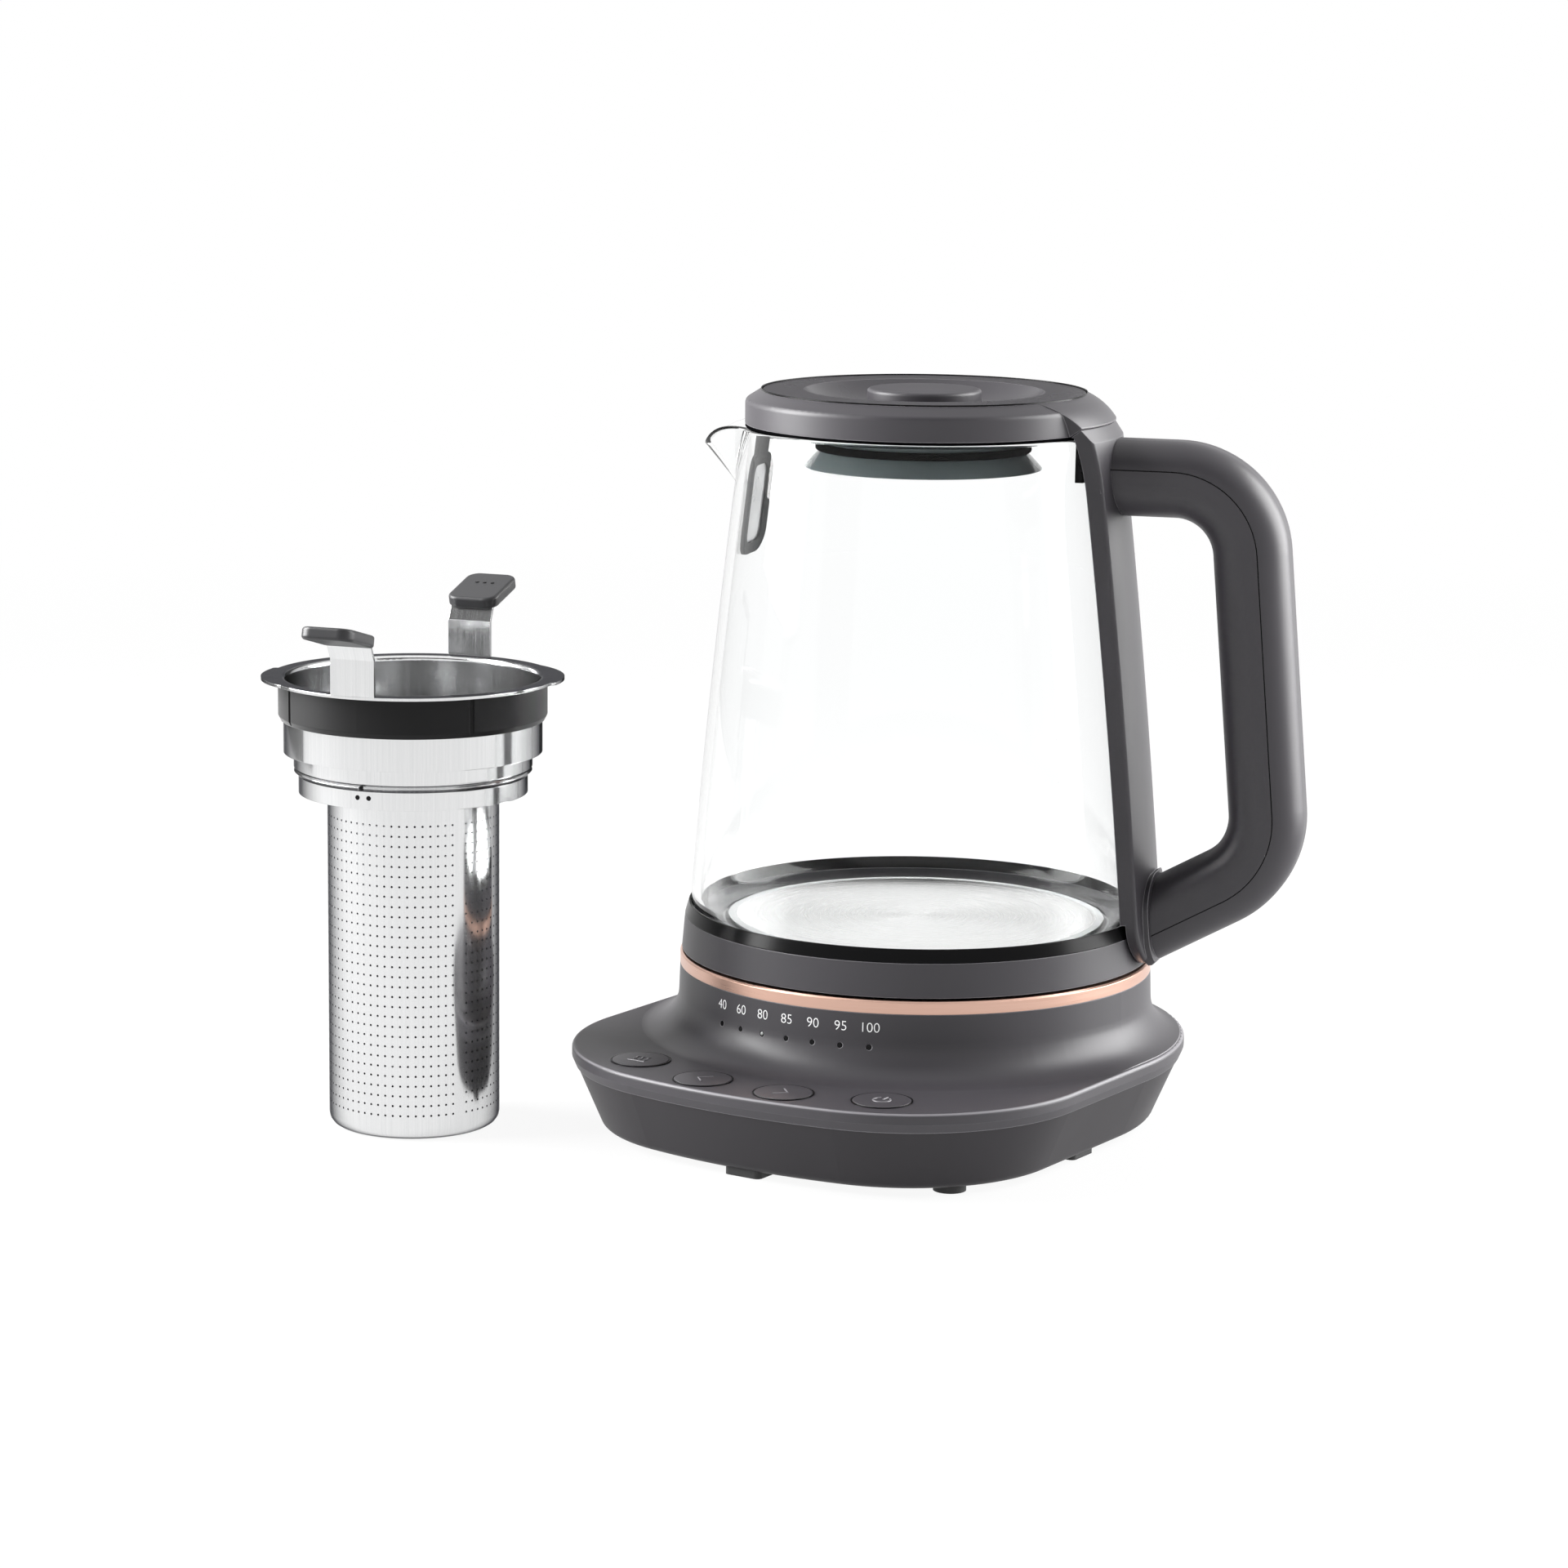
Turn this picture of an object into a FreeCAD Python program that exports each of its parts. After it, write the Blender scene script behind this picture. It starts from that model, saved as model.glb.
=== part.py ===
import FreeCAD, Part
import math
import os
from FreeCAD import Vector
from collections import namedtuple

# Glass electric tea kettle on a power base, with its tea infuser standing beside it.
# Millimetres. The origin is on the jug's axis at table level, the controls face -Y.

# Clearances
seam_gap = 0.4
seat_gap = 0.1
swivel_gap = 0.08
button_gap = 0.3
tiny = 1e-6
close = 1e-4
centre = Vector(0, 0, 0)
up = Vector(0, 0, 1)

# Glass: its two radii and its height drive the jug, the lid and the base
glass_wall = 3.0
glass_foot_radius = 78.1
glass_top_radius = 61.8
glass_height = 161.0
glass_belly = 0.95
glass_heel = 11.0
glass_heel_height = 13.0
spout_reach = 16.0
spout_tip_drop = 8.0
spout_knee_drop = 20.0
spout_start_drop = 35.0
spout_half_widths = (6.8, 16.7, 24.3, 27.0)
spout_tip_round = 3.0

# Jug bottom: grey collar, black band, cover and the gap to the base
jug_collar_step = 2.1
jug_collar_draft = 1.0
jug_collar_height = 11.6
jug_collar_wall = 2.4
jug_collar_shelf = 2.5
glass_lift = 7.2
band_step = 0.8
band_height = 4.5
cover_thickness = 2.2
cover_foot_margin = 12.0
cover_foot_wall = 4.0
lift_gap = 1.0
collar_top_radius = glass_foot_radius + jug_collar_step
collar_bottom_radius = collar_top_radius + jug_collar_draft
band_top_radius = glass_foot_radius + band_step

# Power base
trim_step = 0.55
trim_height = 4.4
trim_wall = 3.0
trim_chamfer = 0.6
pedestal_height = 22.6
pedestal_draft = 0.35
pedestal_flare = 13.0
pedestal_rim = 5.75
pedestal_dish_depth = 3.4
base_margin = 12.25
base_front_step = 27.0
base_front_radius = 220.0
base_corner_step = 28.0
base_taper = 10.5
base_taper_z = 27.0
base_wall = 2.5
base_floor_z = 2.6
base_floor_round = 3.5
base_parting_z = 24.0
plate_z = 30.8
plate_edge_round = 1.4
pedestal_radius = collar_bottom_radius + trim_step
pedestal_dish_radius = pedestal_radius - pedestal_rim
base_half_width = pedestal_radius + base_margin
base_front_reach = base_half_width + base_front_step
base_corner_radius = base_half_width - base_corner_step
pedestal_z = plate_z + pedestal_height
base_inside_z = base_floor_z + base_wall
dish_z = pedestal_z - pedestal_dish_depth
plate_under_z = plate_z - base_wall
trim_top_z = pedestal_z + trim_height

# Feet and screws under the base, placed from its sides and its front
foot_length = 14.0
foot_depth = 10.0
foot_round = 2.0
foot_pocket = 1.2
foot_disc_radius = 5.5
front_foot_inset = 17.5
side_foot_inset = 19.0
side_foot_y = -20.0
front_disc_inset = (29.5, 39.0)
rear_disc_place = (56.0, 50.0)
front_screw_inset = (24.0, 65.0)
rear_screw_place = (42.0, 62.0)
screw_radius = 1.5
screw_head_radius = 3.0
screw_head_height = 1.8
screw_length = 14.0
screw_post_radius = 4.5

# Buttons and indicators
button_radius = 9.7
button_lip = 1.0
button_lip_height = 1.4
button_arc_step = 27.45
button_angles = (-26.0, -8.4, 8.4, 26.0)
button_names = ("keep_warm_button", "cooler_button", "hotter_button", "power_button")
button_travel = 0.8
switch_size = 6.0
switch_height = 2.6
board_thickness = 1.6
control_board_front_step = 3.8
control_board_corner_step = -6.2
control_board_back_step = -25.2
control_board_half = 56.0
control_board_nose = 24.0
indicator_count = 7
indicator_pitch = 7.0
indicator_rise = 11.1
indicator_radius = 0.85
light_bar_inset = 11.75
light_bar_depth = 3.0
light_bar_height = 4.0
light_bar_overhang = 3.0
indicator_board_height = 11.0
button_arc_radius = pedestal_radius + button_arc_step
control_board_front = button_arc_radius + control_board_front_step
control_board_corner = button_arc_radius + control_board_corner_step
control_board_back = button_arc_radius + control_board_back_step
indicator_z = plate_z + indicator_rise
light_bar_y = light_bar_inset - pedestal_radius

# Inside the base
power_board_half = 33.0
power_board_front = 6.0
power_board_back = 58.0
power_board_z = 14.0
board_post_radius = 3.0
relay_size = (19.0, 15.0, 15.0)
capacitor_radius = 6.0
capacitor_height = 20.0
inlet_radius = 6.0
inlet_bore = 3.2
inlet_flange = 2.0
inlet_z = 14.0
inlet_length = 9.0

# Connector between base and jug
post_radius = 13.4
post_height = 10.0
post_flange = 4.0
post_boss_radius = 20.0
post_boss_height = 2.0
contact_ring_height = 2.0
contact_ring_depth = 1.0
contact_pin_radius = 2.5
contact_pin_height = 2.0
socket_clearance = 0.6
socket_wall = 12.0
socket_lip = 2.5
socket_lip_gap = 0.3
socket_roof = 1.5
socket_stand_off = 1.0
socket_bore = post_radius + socket_clearance
socket_radius = socket_bore + socket_wall
socket_low_z = dish_z + post_boss_height + socket_stand_off
socket_roof_z = dish_z + post_height + contact_pin_height + socket_clearance

# Heights of the jug, counted up from the base
collar_z = trim_top_z + lift_gap
collar_top_z = collar_z + jug_collar_height
band_top_z = collar_top_z + band_height
cover_top_z = collar_z + cover_thickness
shelf_top_z = cover_top_z + jug_collar_shelf
cover_foot_radius = pedestal_dish_radius - cover_foot_margin
glass_floor_z = collar_z + glass_lift
glass_foot_z = glass_floor_z + glass_heel_height
glass_rim_z = glass_foot_z + glass_height
spout_tip_z = glass_rim_z - spout_tip_drop
spout_knee_z = glass_rim_z - spout_knee_drop
spout_start_z = glass_rim_z - spout_start_drop
spout_tip_radius = glass_top_radius + spout_reach

# Heater under the jug
plate_margin = 15.5
heater_plate_thickness = 1.0
plate_skirt = 5.5
plate_flange = 5.4
plate_rise = 4.0
gasket_lip = 1.4
spreader_margin = 6.6
spreader_thickness = 2.5
element_margin = 8.0
element_tube_radius = 2.5
element_sweep = 300.0
sensor_radius = 3.0
sensor_height = 4.5
sensor_gap = 1.5
thermostat_radius = 6.0
thermostat_height = 4.0
plate_radius = glass_foot_radius - plate_margin
spreader_radius = plate_radius - spreader_margin
element_ring_radius = spreader_radius - element_margin
sensor_reach = socket_radius + socket_lip + sensor_gap + thermostat_radius
plate_top_z = glass_floor_z + plate_rise
plate_under_top_z = plate_top_z - heater_plate_thickness
flange_top_z = plate_top_z - plate_skirt
spreader_low_z = plate_under_top_z - spreader_thickness

# Mouth collar and lid
mouth_inset = 0.8
mouth_height = 11.4
mouth_slope_width = 5.4
mouth_slope_height = 3.4
mouth_edge_round = 2.0
mouth_ledge_width = 7.1
mouth_gasket_height = 1.0
mouth_gasket_gap = 1.2
lid_rise = 0.1
lid_rim_width = 15.2
lid_edge_round = 0.5
lid_dish_slope = 9.0
lid_dish_depth = 8.4
lid_dish_round = 3.0
lid_skin = 1.6
lid_knob_margin = 11.5
lid_knob_height = 9.1
lid_knob_round = 1.2
lid_plug_gap = 0.7
lid_plug_shoulder_step = 6.6
lid_plug_waist_step = 6.4
lid_plug_drop = 6.7
lid_seal_lip = 2.2
lid_seal_height = 1.6
lid_skirt_step = 5.9
lid_skirt_drop = 6.2
mouth_radius = glass_top_radius - mouth_inset
mouth_seam_radius = mouth_radius - mouth_slope_width
mouth_bore = mouth_seam_radius - mouth_ledge_width
mouth_gasket_inner = glass_top_radius - glass_wall - mouth_gasket_gap
mouth_low_z = glass_rim_z + mouth_gasket_height
mouth_top_z = mouth_low_z + mouth_height
mouth_side_z = mouth_top_z - mouth_slope_height
mouth_ledge_z = mouth_side_z
lid_radius = mouth_seam_radius - seam_gap
lid_dish_radius = lid_radius - lid_rim_width
lid_dish_floor_radius = lid_dish_radius - lid_dish_slope
lid_knob_radius = lid_dish_floor_radius - lid_knob_margin
lid_plug_neck = mouth_bore - lid_plug_gap
lid_plug_shoulder = lid_plug_neck - lid_plug_shoulder_step
lid_plug_waist = lid_plug_shoulder - lid_plug_waist_step
lid_seal_radius = lid_plug_waist + lid_seal_lip
lid_skirt_radius = lid_plug_waist + lid_skirt_step
lid_top_z = mouth_top_z + lid_rise
dish_floor_z = lid_top_z - lid_dish_depth
lid_plug_waist_z = mouth_low_z - lid_plug_drop
lid_skirt_top_z = lid_plug_waist_z - lid_seal_height
lid_skirt_z = lid_skirt_top_z - lid_skirt_drop

# Handle and its spine
jug_turn = 18.0
spine_half_width = 20.8
spine_cape_half_width = 31.0
spine_flare_drop = 18.0
spine_end_round = 16.0
spine_depth = 6.0
spine_foot_rise = 1.0
spine_foot_chamfer = 1.5
spine_edge_round = 1.2
spine_sweep = 70.0
flare_share = 0.5
cape_step = 4.4
cape_height = 2.3
cape_edge = 0.4
cape_bulge = 0.9
grip_height = 25.8
grip_width = 28.0
grip_corner = 11.5
grip_seam = 3.6
grip_arm_drop = 14.2
grip_top_reach = 50.5
grip_top_round = 26.0
grip_low_reach = 45.5
grip_low_rise = 17.1
grip_low_round = 28.0
grip_arm_tilt = 29.0
grip_bead = 1.6
grip_bead_rise = 1.8
clamp_half_angle = 10.0
clamp_wall = 2.6
clamp_height = 17.0
cape_radius = mouth_radius + cape_step
spine_flare_z = glass_rim_z - spine_flare_drop
spine_foot_z = collar_z + spine_foot_rise
grip_arm_z = glass_rim_z - grip_arm_drop
grip_low_z = glass_foot_z + grip_low_rise

# Spout filter
filter_half_width = 12.5
filter_low_drop = 46.0
filter_high_drop = 11.0
filter_frame_bar = 4.0
filter_thickness = 2.0
filter_mesh_thickness = 0.5
filter_corner = 8.0
filter_tab_half_width = 6.0
filter_sweep = 60.0
filter_low_z = glass_rim_z - filter_low_drop
filter_high_z = glass_rim_z - filter_high_drop

# Tea infuser, standing on the table
infuser_x = -133.3
infuser_y = -112.0
infuser_turn = -76.5
basket_radius = 29.3
basket_wall = 0.8
basket_round = 4.0
basket_height = 117.0
sheet = 1.0
funnel_width = 9.7
funnel_low_height = 7.5
funnel_bead = 1.5
funnel_mid_step = 1.6
funnel_mid_height = 6.5
funnel_wide_step = 3.4
funnel_wide_height = 25.7
rim_width = 5.0
rim_round = 1.6
ear_step = 2.4
ear_start = -40.0
ear_end = -86.0
ear_round = 1.2
sleeve_height = 13.4
sleeve_wall = 1.7
sleeve_notch = 0.8
sleeve_notch_angle = 49.5
sleeve_notch_count = 4
strap_width = 15.8
strap_thickness = 1.2
strap_rise = 18.3
strap_bend = 6.0
strap_lean = 3.0
paddle_length = 20.0
paddle_lap = 3.5
paddle_seat = 1.2
paddle_width = 18.5
paddle_thickness = 4.2
paddle_round = 4.5
paddle_edge_round = 1.1
paddle_tilt = 14.5
funnel_low_radius = basket_radius + funnel_width
funnel_mid_radius = funnel_low_radius + funnel_mid_step
funnel_wide_radius = funnel_mid_radius + funnel_wide_step
rim_radius = funnel_wide_radius + rim_width
rim_inner_radius = funnel_wide_radius - sheet
ear_radius = rim_radius + ear_step
strap_reach = rim_radius - strap_thickness
funnel_low_z = basket_height - sheet
funnel_bead_z = funnel_low_z + funnel_low_height
funnel_mid_z = funnel_bead_z + funnel_mid_height
infuser_rim_z = funnel_mid_z + funnel_wide_height
rim_low_z = infuser_rim_z - sheet
sleeve_top_z = rim_low_z - seat_gap

Via = namedtuple("Via", "x y")


def side(point):
    """Put a 2-D point into the XZ plane."""
    return Vector(point.x, 0, point.y)


def level(z):
    """A function that puts a 2-D point at height z."""
    return lambda point: Vector(point.x, point.y, z)


def outline(points, place, closed=True):
    """Wire through 2-D points: a third number rounds that corner, a Via bends the run it is on."""
    stops = [p for p in points if not isinstance(p, Via)]
    bends = {}
    passed = 0
    for p in points:
        if isinstance(p, Via):
            bends[passed - 1] = Vector(p.x, p.y, 0)
        else:
            passed += 1
    spots = [Vector(p[0], p[1], 0) for p in stops]
    corners = []
    for i, stop in enumerate(stops):
        here = spots[i]
        if len(stop) < 3:
            corners.append((here, None, here))
            continue
        back = (spots[i - 1] - here).normalize()
        ahead = (spots[(i + 1) % len(spots)] - here).normalize()
        half = back.getAngle(ahead) / 2
        reach = stop[2] / math.tan(half)
        inward = (back + ahead).normalize()
        middle = here + inward * (stop[2] / math.sin(half) - stop[2])
        corners.append((here + back * reach, middle, here + ahead * reach))
    edges = []
    for i, (start, middle, end) in enumerate(corners):
        if middle is not None:
            edges.append(Part.Arc(place(start), place(middle), place(end)).toShape())
        if i + 1 == len(corners) and not closed:
            break
        onward = corners[(i + 1) % len(corners)][0]
        if i in bends:
            edges.append(Part.Arc(place(end), place(bends[i]), place(onward)).toShape())
        elif (onward - end).Length > tiny:
            edges.append(Part.LineSegment(place(end), place(onward)).toShape())
    return Part.Wire(edges)


def outward(shape):
    """The solid with its faces pointing out."""
    solid = Part.Solid(shape) if shape.ShapeType == "Shell" else shape
    if solid.Volume < 0:
        solid.reverse()
    return solid


def turned(points, start=0.0, sweep=360.0):
    """Solid of revolution about Z of a section drawn in the XZ plane."""
    section = Part.Face(outline(points, side))
    section.rotate(centre, up, start)
    return outward(section.revolve(centre, up, sweep))


def slab(points, z, height):
    """Upright prism on a plan outline."""
    return outward(Part.Face(outline(points, level(z))).extrude(Vector(0, 0, height)))


def across(points, half_width):
    """Prism of a section in the XZ plane, as wide to either side of it."""
    section = Part.Face(outline(points, side))
    section.translate(Vector(0, -half_width, 0))
    return outward(section.extrude(Vector(0, 2 * half_width, 0)))


def rod(radius, z, height, x=0.0, y=0.0):
    """Upright cylinder."""
    return Part.makeCylinder(radius, height, Vector(x, y, z))


def block(size_x, size_y, height, x, y, z):
    """Box centred on x and y, standing on z."""
    return Part.makeBox(size_x, size_y, height, Vector(x - size_x / 2, y - size_y / 2, z))


def fused(shapes):
    """One solid out of several that touch."""
    return shapes[0].multiFuse(shapes[1:]).removeSplitter()


def group(shapes):
    """Separate solids that share one node."""
    return Part.makeCompound(shapes)


# Power base

def base_plan(inset, z):
    """Plan of the base: round at the back, straight sides, round corners and a bowed front."""
    half = base_half_width - inset
    corner = base_corner_radius - inset
    front = base_front_radius - inset
    corner_x = base_half_width - base_corner_radius
    front_y = base_front_radius - base_front_reach
    span = base_front_radius - base_corner_radius
    corner_y = front_y - math.sqrt(span ** 2 - corner_x ** 2)
    lean = math.asin(corner_x / span)
    join_x = front * math.sin(lean)
    join_y = front_y - front * math.cos(lean)
    turn = (lean - math.pi / 2) / 2
    bend_x = corner_x + corner * math.cos(turn)
    bend_y = corner_y + corner * math.sin(turn)
    points = [
        (half, 0), Via(0, half), (-half, 0),
        (-half, corner_y), Via(-bend_x, bend_y), (-join_x, join_y),
        Via(0, front_y - front), (join_x, join_y),
        Via(bend_x, bend_y), (half, corner_y),
    ]
    return outline(points, level(z))


def base_prism(inset, z, height):
    return outward(Part.Face(base_plan(inset, z)).extrude(Vector(0, 0, height)))


def side_lean(z):
    """How far the base's side has drawn in at height z."""
    return base_taper * (base_taper_z - z) / (base_taper_z - base_floor_z)


def tapered_base(inset, low, high):
    """The base's form between two heights where its side leans in towards the floor."""
    return Part.makeLoft([base_plan(inset + side_lean(z), z) for z in (low, high)], True, True)


def edges_at(shape, z):
    """The edges of a shape that lie flat at height z."""
    boxes = [(edge, edge.BoundBox) for edge in shape.Edges]
    return [edge for edge, box in boxes if abs(box.ZMin - z) < close and box.ZLength < close]


def screw_post(x, y):
    """Post from the ceiling over it, the plate's or the dish's, down to the lower shell's floor."""
    under_dish = math.hypot(x, y) < pedestal_radius - base_wall
    ceiling = dish_z if under_dish else plate_z
    return rod(screw_post_radius, base_inside_z, ceiling - base_wall / 2 - base_inside_z, x, y)


def base_screw(x, y):
    head = rod(screw_head_radius, base_floor_z, screw_head_height, x, y)
    return fused([head, rod(screw_radius, base_floor_z, screw_length, x, y)])


def screw_hole(x, y):
    head = rod(screw_head_radius + seat_gap, base_floor_z, screw_head_height, x, y)
    return fused([head, rod(screw_radius + seat_gap, base_floor_z, screw_length + seat_gap, x, y)])


def mirrored(spots):
    """Each spot and its twin on the other side of the base."""
    return [(sign * x, y) for x, y in spots for sign in (1, -1)]


def screw_places():
    front = (base_half_width - front_screw_inset[0], front_screw_inset[1] - base_front_reach)
    return mirrored([front, rear_screw_place])


def foot_solids():
    """Rubber feet: blocks at the front and sides, discs at the corners."""
    height = base_floor_z + foot_pocket
    blocks = [(0, front_foot_inset - base_front_reach, 0)]
    blocks += [(x, y, 90) for x, y in mirrored([(base_half_width - side_foot_inset, side_foot_y)])]
    solids = []
    for x, y, turn in blocks:
        foot = block(foot_length, foot_depth, height, 0, 0, 0)
        upright = [e for e in foot.Edges if e.BoundBox.ZLength > height / 2]
        foot = foot.makeFillet(foot_round, upright)
        foot.rotate(centre, up, turn)
        foot.translate(Vector(x, y, 0))
        solids.append(foot)
    front = (base_half_width - front_disc_inset[0], front_disc_inset[1] - base_front_reach)
    solids += [rod(foot_disc_radius, 0, height, x, y) for x, y in mirrored([front, rear_disc_place])]
    return solids


def control_board_posts():
    back = -control_board_back - board_post_radius
    front = -control_board_front + 3 * board_post_radius
    corner = (control_board_half - board_post_radius, back)
    return mirrored([corner, (control_board_nose - board_post_radius, front)])


def power_board_posts():
    half = power_board_half - board_post_radius
    ends = (power_board_front + board_post_radius, power_board_back - board_post_radius)
    return mirrored([(half, y) for y in ends])


button_low_z = plate_under_z - button_gap - button_lip_height - button_travel - button_gap
control_board_top = button_low_z - switch_height
control_board_z = control_board_top - board_thickness
indicator_board_low = indicator_z - indicator_board_height / 2
indicator_board_y = light_bar_y + light_bar_depth + board_thickness / 2
indicator_span = math.radians(indicator_pitch * (indicator_count - 1) / 2)
light_bar_half = pedestal_radius * math.sin(indicator_span) + light_bar_overhang


def inlet_axis_y():
    """Where the rear wall's outer face stands at the inlet's height."""
    return base_half_width - side_lean(inlet_z)


def along_y(radius, y, length, x, z):
    return Part.makeCylinder(radius, length, Vector(x, y, z), Vector(0, 1, 0))


def base_bottom_shell():
    outer = tapered_base(seam_gap, base_floor_z, base_parting_z)
    outer = outer.makeFillet(base_floor_round, edges_at(outer, base_floor_z))
    shell = outer.cut(tapered_base(seam_gap + base_wall, base_inside_z, base_parting_z))
    posts = [rod(board_post_radius, base_inside_z, control_board_z - base_inside_z, x, y)
             for x, y in control_board_posts()]
    posts += [rod(board_post_radius, base_inside_z, power_board_z - base_inside_z, x, y)
              for x, y in power_board_posts()]
    reach = light_bar_half - board_post_radius
    posts += [rod(board_post_radius, base_inside_z, indicator_board_low - base_inside_z, x, indicator_board_y)
              for x in (reach, -reach)]
    shell = fused([shell] + posts)
    holes = foot_solids() + [screw_hole(x, y) for x, y in screw_places()]
    inlet_start = inlet_axis_y() - inlet_length
    holes.append(along_y(inlet_radius + seat_gap, inlet_start, 2 * inlet_length, 0, inlet_z))
    return shell.cut(group(holes))


def pedestal_side(inset):
    """Right-hand side of the pedestal's section, from the plate up to the trim ring's seat."""
    foot = pedestal_radius + pedestal_draft - inset
    return foot, pedestal_radius - inset


def button_spots():
    spots = []
    for angle in button_angles:
        turn = math.radians(angle)
        spots.append((button_arc_radius * math.sin(turn), -button_arc_radius * math.cos(turn)))
    return spots


def indicator_x(i):
    turn = math.radians(indicator_pitch * (i - (indicator_count - 1) / 2))
    return pedestal_radius * math.sin(turn)


def indicator_rods(radius, back):
    """Seven pins that run forward through the pedestal's wall."""
    reach = pedestal_radius + pedestal_flare
    spots = [indicator_x(i) for i in range(indicator_count)]
    return [along_y(radius, -reach, reach + back, x, indicator_z) for x in spots]


def pedestal(inset, top):
    foot, head = pedestal_side(inset)
    flare = pedestal_flare - inset
    return turned([
        (0, plate_z - base_wall / 2), (foot + flare, plate_z - base_wall / 2), (foot + flare, plate_z),
        Via(foot + flare * (1 - math.sqrt(0.5)), plate_z + flare * (1 - math.sqrt(0.5))),
        (foot, plate_z + flare), (head, top), (0, top),
    ])


def base_top_shell():
    plate = base_prism(0, base_taper_z, plate_z - base_taper_z)
    plate = plate.makeFillet(plate_edge_round, edges_at(plate, plate_z))
    tower = pedestal(0, pedestal_z).common(base_prism(plate_edge_round, base_taper_z, pedestal_z))
    shell = fused([plate, tapered_base(0, base_parting_z, base_taper_z), tower])
    shell = shell.cut(rod(pedestal_dish_radius, dish_z, pedestal_dish_depth))
    hollow = base_prism(base_wall, base_taper_z, plate_under_z - base_taper_z)
    hollow = fused([hollow, tapered_base(base_wall, base_parting_z, base_taper_z)])
    well = rod(pedestal_radius - base_wall, base_parting_z, dish_z - base_wall - base_parting_z)
    shell = shell.cut(fused([hollow, well]))
    shell = fused([shell] + [screw_post(x, y) for x, y in screw_places()])
    cuts = [screw_hole(x, y) for x, y in screw_places()]
    lip_room = button_radius + button_lip + button_gap
    lip_depth = plate_under_z - button_low_z
    for x, y in button_spots():
        cuts.append(rod(button_radius + button_gap, plate_under_z, base_wall, x, y))
        cuts.append(rod(lip_room, button_low_z, lip_depth, x, y))
    cuts += indicator_rods(indicator_radius + seat_gap, light_bar_y)
    cuts.append(rod(post_boss_radius + seat_gap, dish_z - base_wall, base_wall))
    return shell.cut(group(cuts))


def button(x, y):
    cap = rod(button_radius, plate_under_z - button_gap, base_wall + button_gap, x, y)
    lip_z = plate_under_z - button_gap - button_lip_height
    return fused([cap, rod(button_radius + button_lip, lip_z, button_lip_height, x, y)])


def control_board():
    half, nose = control_board_half, control_board_nose
    plan = [
        (-half, -control_board_back), (-half, -control_board_corner), (-nose, -control_board_front),
        (nose, -control_board_front), (half, -control_board_corner), (half, -control_board_back),
    ]
    return slab(plan, control_board_z, board_thickness)


def button_switches():
    return group([block(switch_size, switch_size, switch_height, x, y, control_board_top)
                  for x, y in button_spots()])


def light_pipe():
    bar = block(2 * light_bar_half, light_bar_depth, light_bar_height, 0,
                light_bar_y + light_bar_depth / 2, indicator_z - light_bar_height / 2)
    pins = [pin.common(pedestal(0, pedestal_z)) for pin in indicator_rods(indicator_radius, light_bar_y)]
    return fused([bar] + pins)


def indicator_board():
    return block(2 * light_bar_half, board_thickness, indicator_board_height, 0,
                 indicator_board_y, indicator_board_low)


def power_board():
    middle = (power_board_front + power_board_back) / 2
    return block(2 * power_board_half, power_board_back - power_board_front, board_thickness,
                 0, middle, power_board_z)


def relay():
    x = -power_board_half / 2
    y = (power_board_front + power_board_back) / 2
    return block(*relay_size, x, y, power_board_z + board_thickness)


def capacitor():
    x = power_board_half / 2
    y = (power_board_front + power_board_back) / 2
    return rod(capacitor_radius, power_board_z + board_thickness, capacitor_height, x, y)


def cord_inlet():
    """Grommet in the rear wall, with the bore that a lead passes through."""
    start = inlet_axis_y() - inlet_length
    body = along_y(inlet_radius, start, inlet_length, 0, inlet_z)
    flange = along_y(inlet_radius + inlet_flange, start, inlet_flange, 0, inlet_z)
    bore = along_y(inlet_bore, start, inlet_length, 0, inlet_z)
    return fused([body, flange]).cut(bore)


def trim_ring():
    outer = pedestal_radius
    inner = pedestal_radius - trim_wall
    return turned([
        (inner, pedestal_z), (outer, pedestal_z),
        (outer, trim_top_z - trim_chamfer), (outer - trim_chamfer, trim_top_z), (inner, trim_top_z),
    ])


def contact_levels():
    start = dish_z + post_boss_height + contact_ring_height / 2
    return (start, start + 2 * contact_ring_height)


def contact_rings(gap=0.0):
    inner = post_radius - contact_ring_depth
    return [turned([(inner, z), (post_radius + gap, z), (post_radius + gap, z + contact_ring_height),
                    (inner, z + contact_ring_height)]) for z in contact_levels()]


def base_connector():
    under = dish_z - base_wall
    flange = rod(post_boss_radius + post_flange, under - post_flange, post_flange)
    boss = rod(post_boss_radius, under, base_wall + post_boss_height)
    post = rod(post_radius, dish_z, post_height)
    return fused([flange, boss, post]).cut(group(contact_rings(seat_gap)))


def base_contacts():
    return group(contact_rings() + [rod(contact_pin_radius, dish_z + post_height, contact_pin_height)])


# Jug

def glass_r(z):
    """Outer radius of the glass wall at height z: a slightly bellied cone."""
    t = (z - glass_foot_z) / (glass_rim_z - glass_foot_z)
    return glass_foot_radius + (glass_top_radius - glass_foot_radius) * t + 4 * glass_belly * t * (1 - t)


def wall_run(offset, low, high):
    """Three points up the glass wall at an offset: start, a Via and end."""
    middle = (low + high) / 2
    bend = Via(glass_r(middle) + offset, middle)
    return [(glass_r(low) + offset, low), bend, (glass_r(high) + offset, high)]


def glass_form(offset, floor, top):
    """Solid form of the glass at an offset from its outer face."""
    heel = glass_heel + offset
    foot = glass_foot_radius + offset
    bend = heel * (1 - math.sqrt(0.5))
    return turned([
        (0, floor), (foot - heel, floor), Via(foot - bend, floor + bend * (glass_foot_z - floor) / heel),
        *wall_run(offset, glass_foot_z, top), (0, top),
    ])


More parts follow.
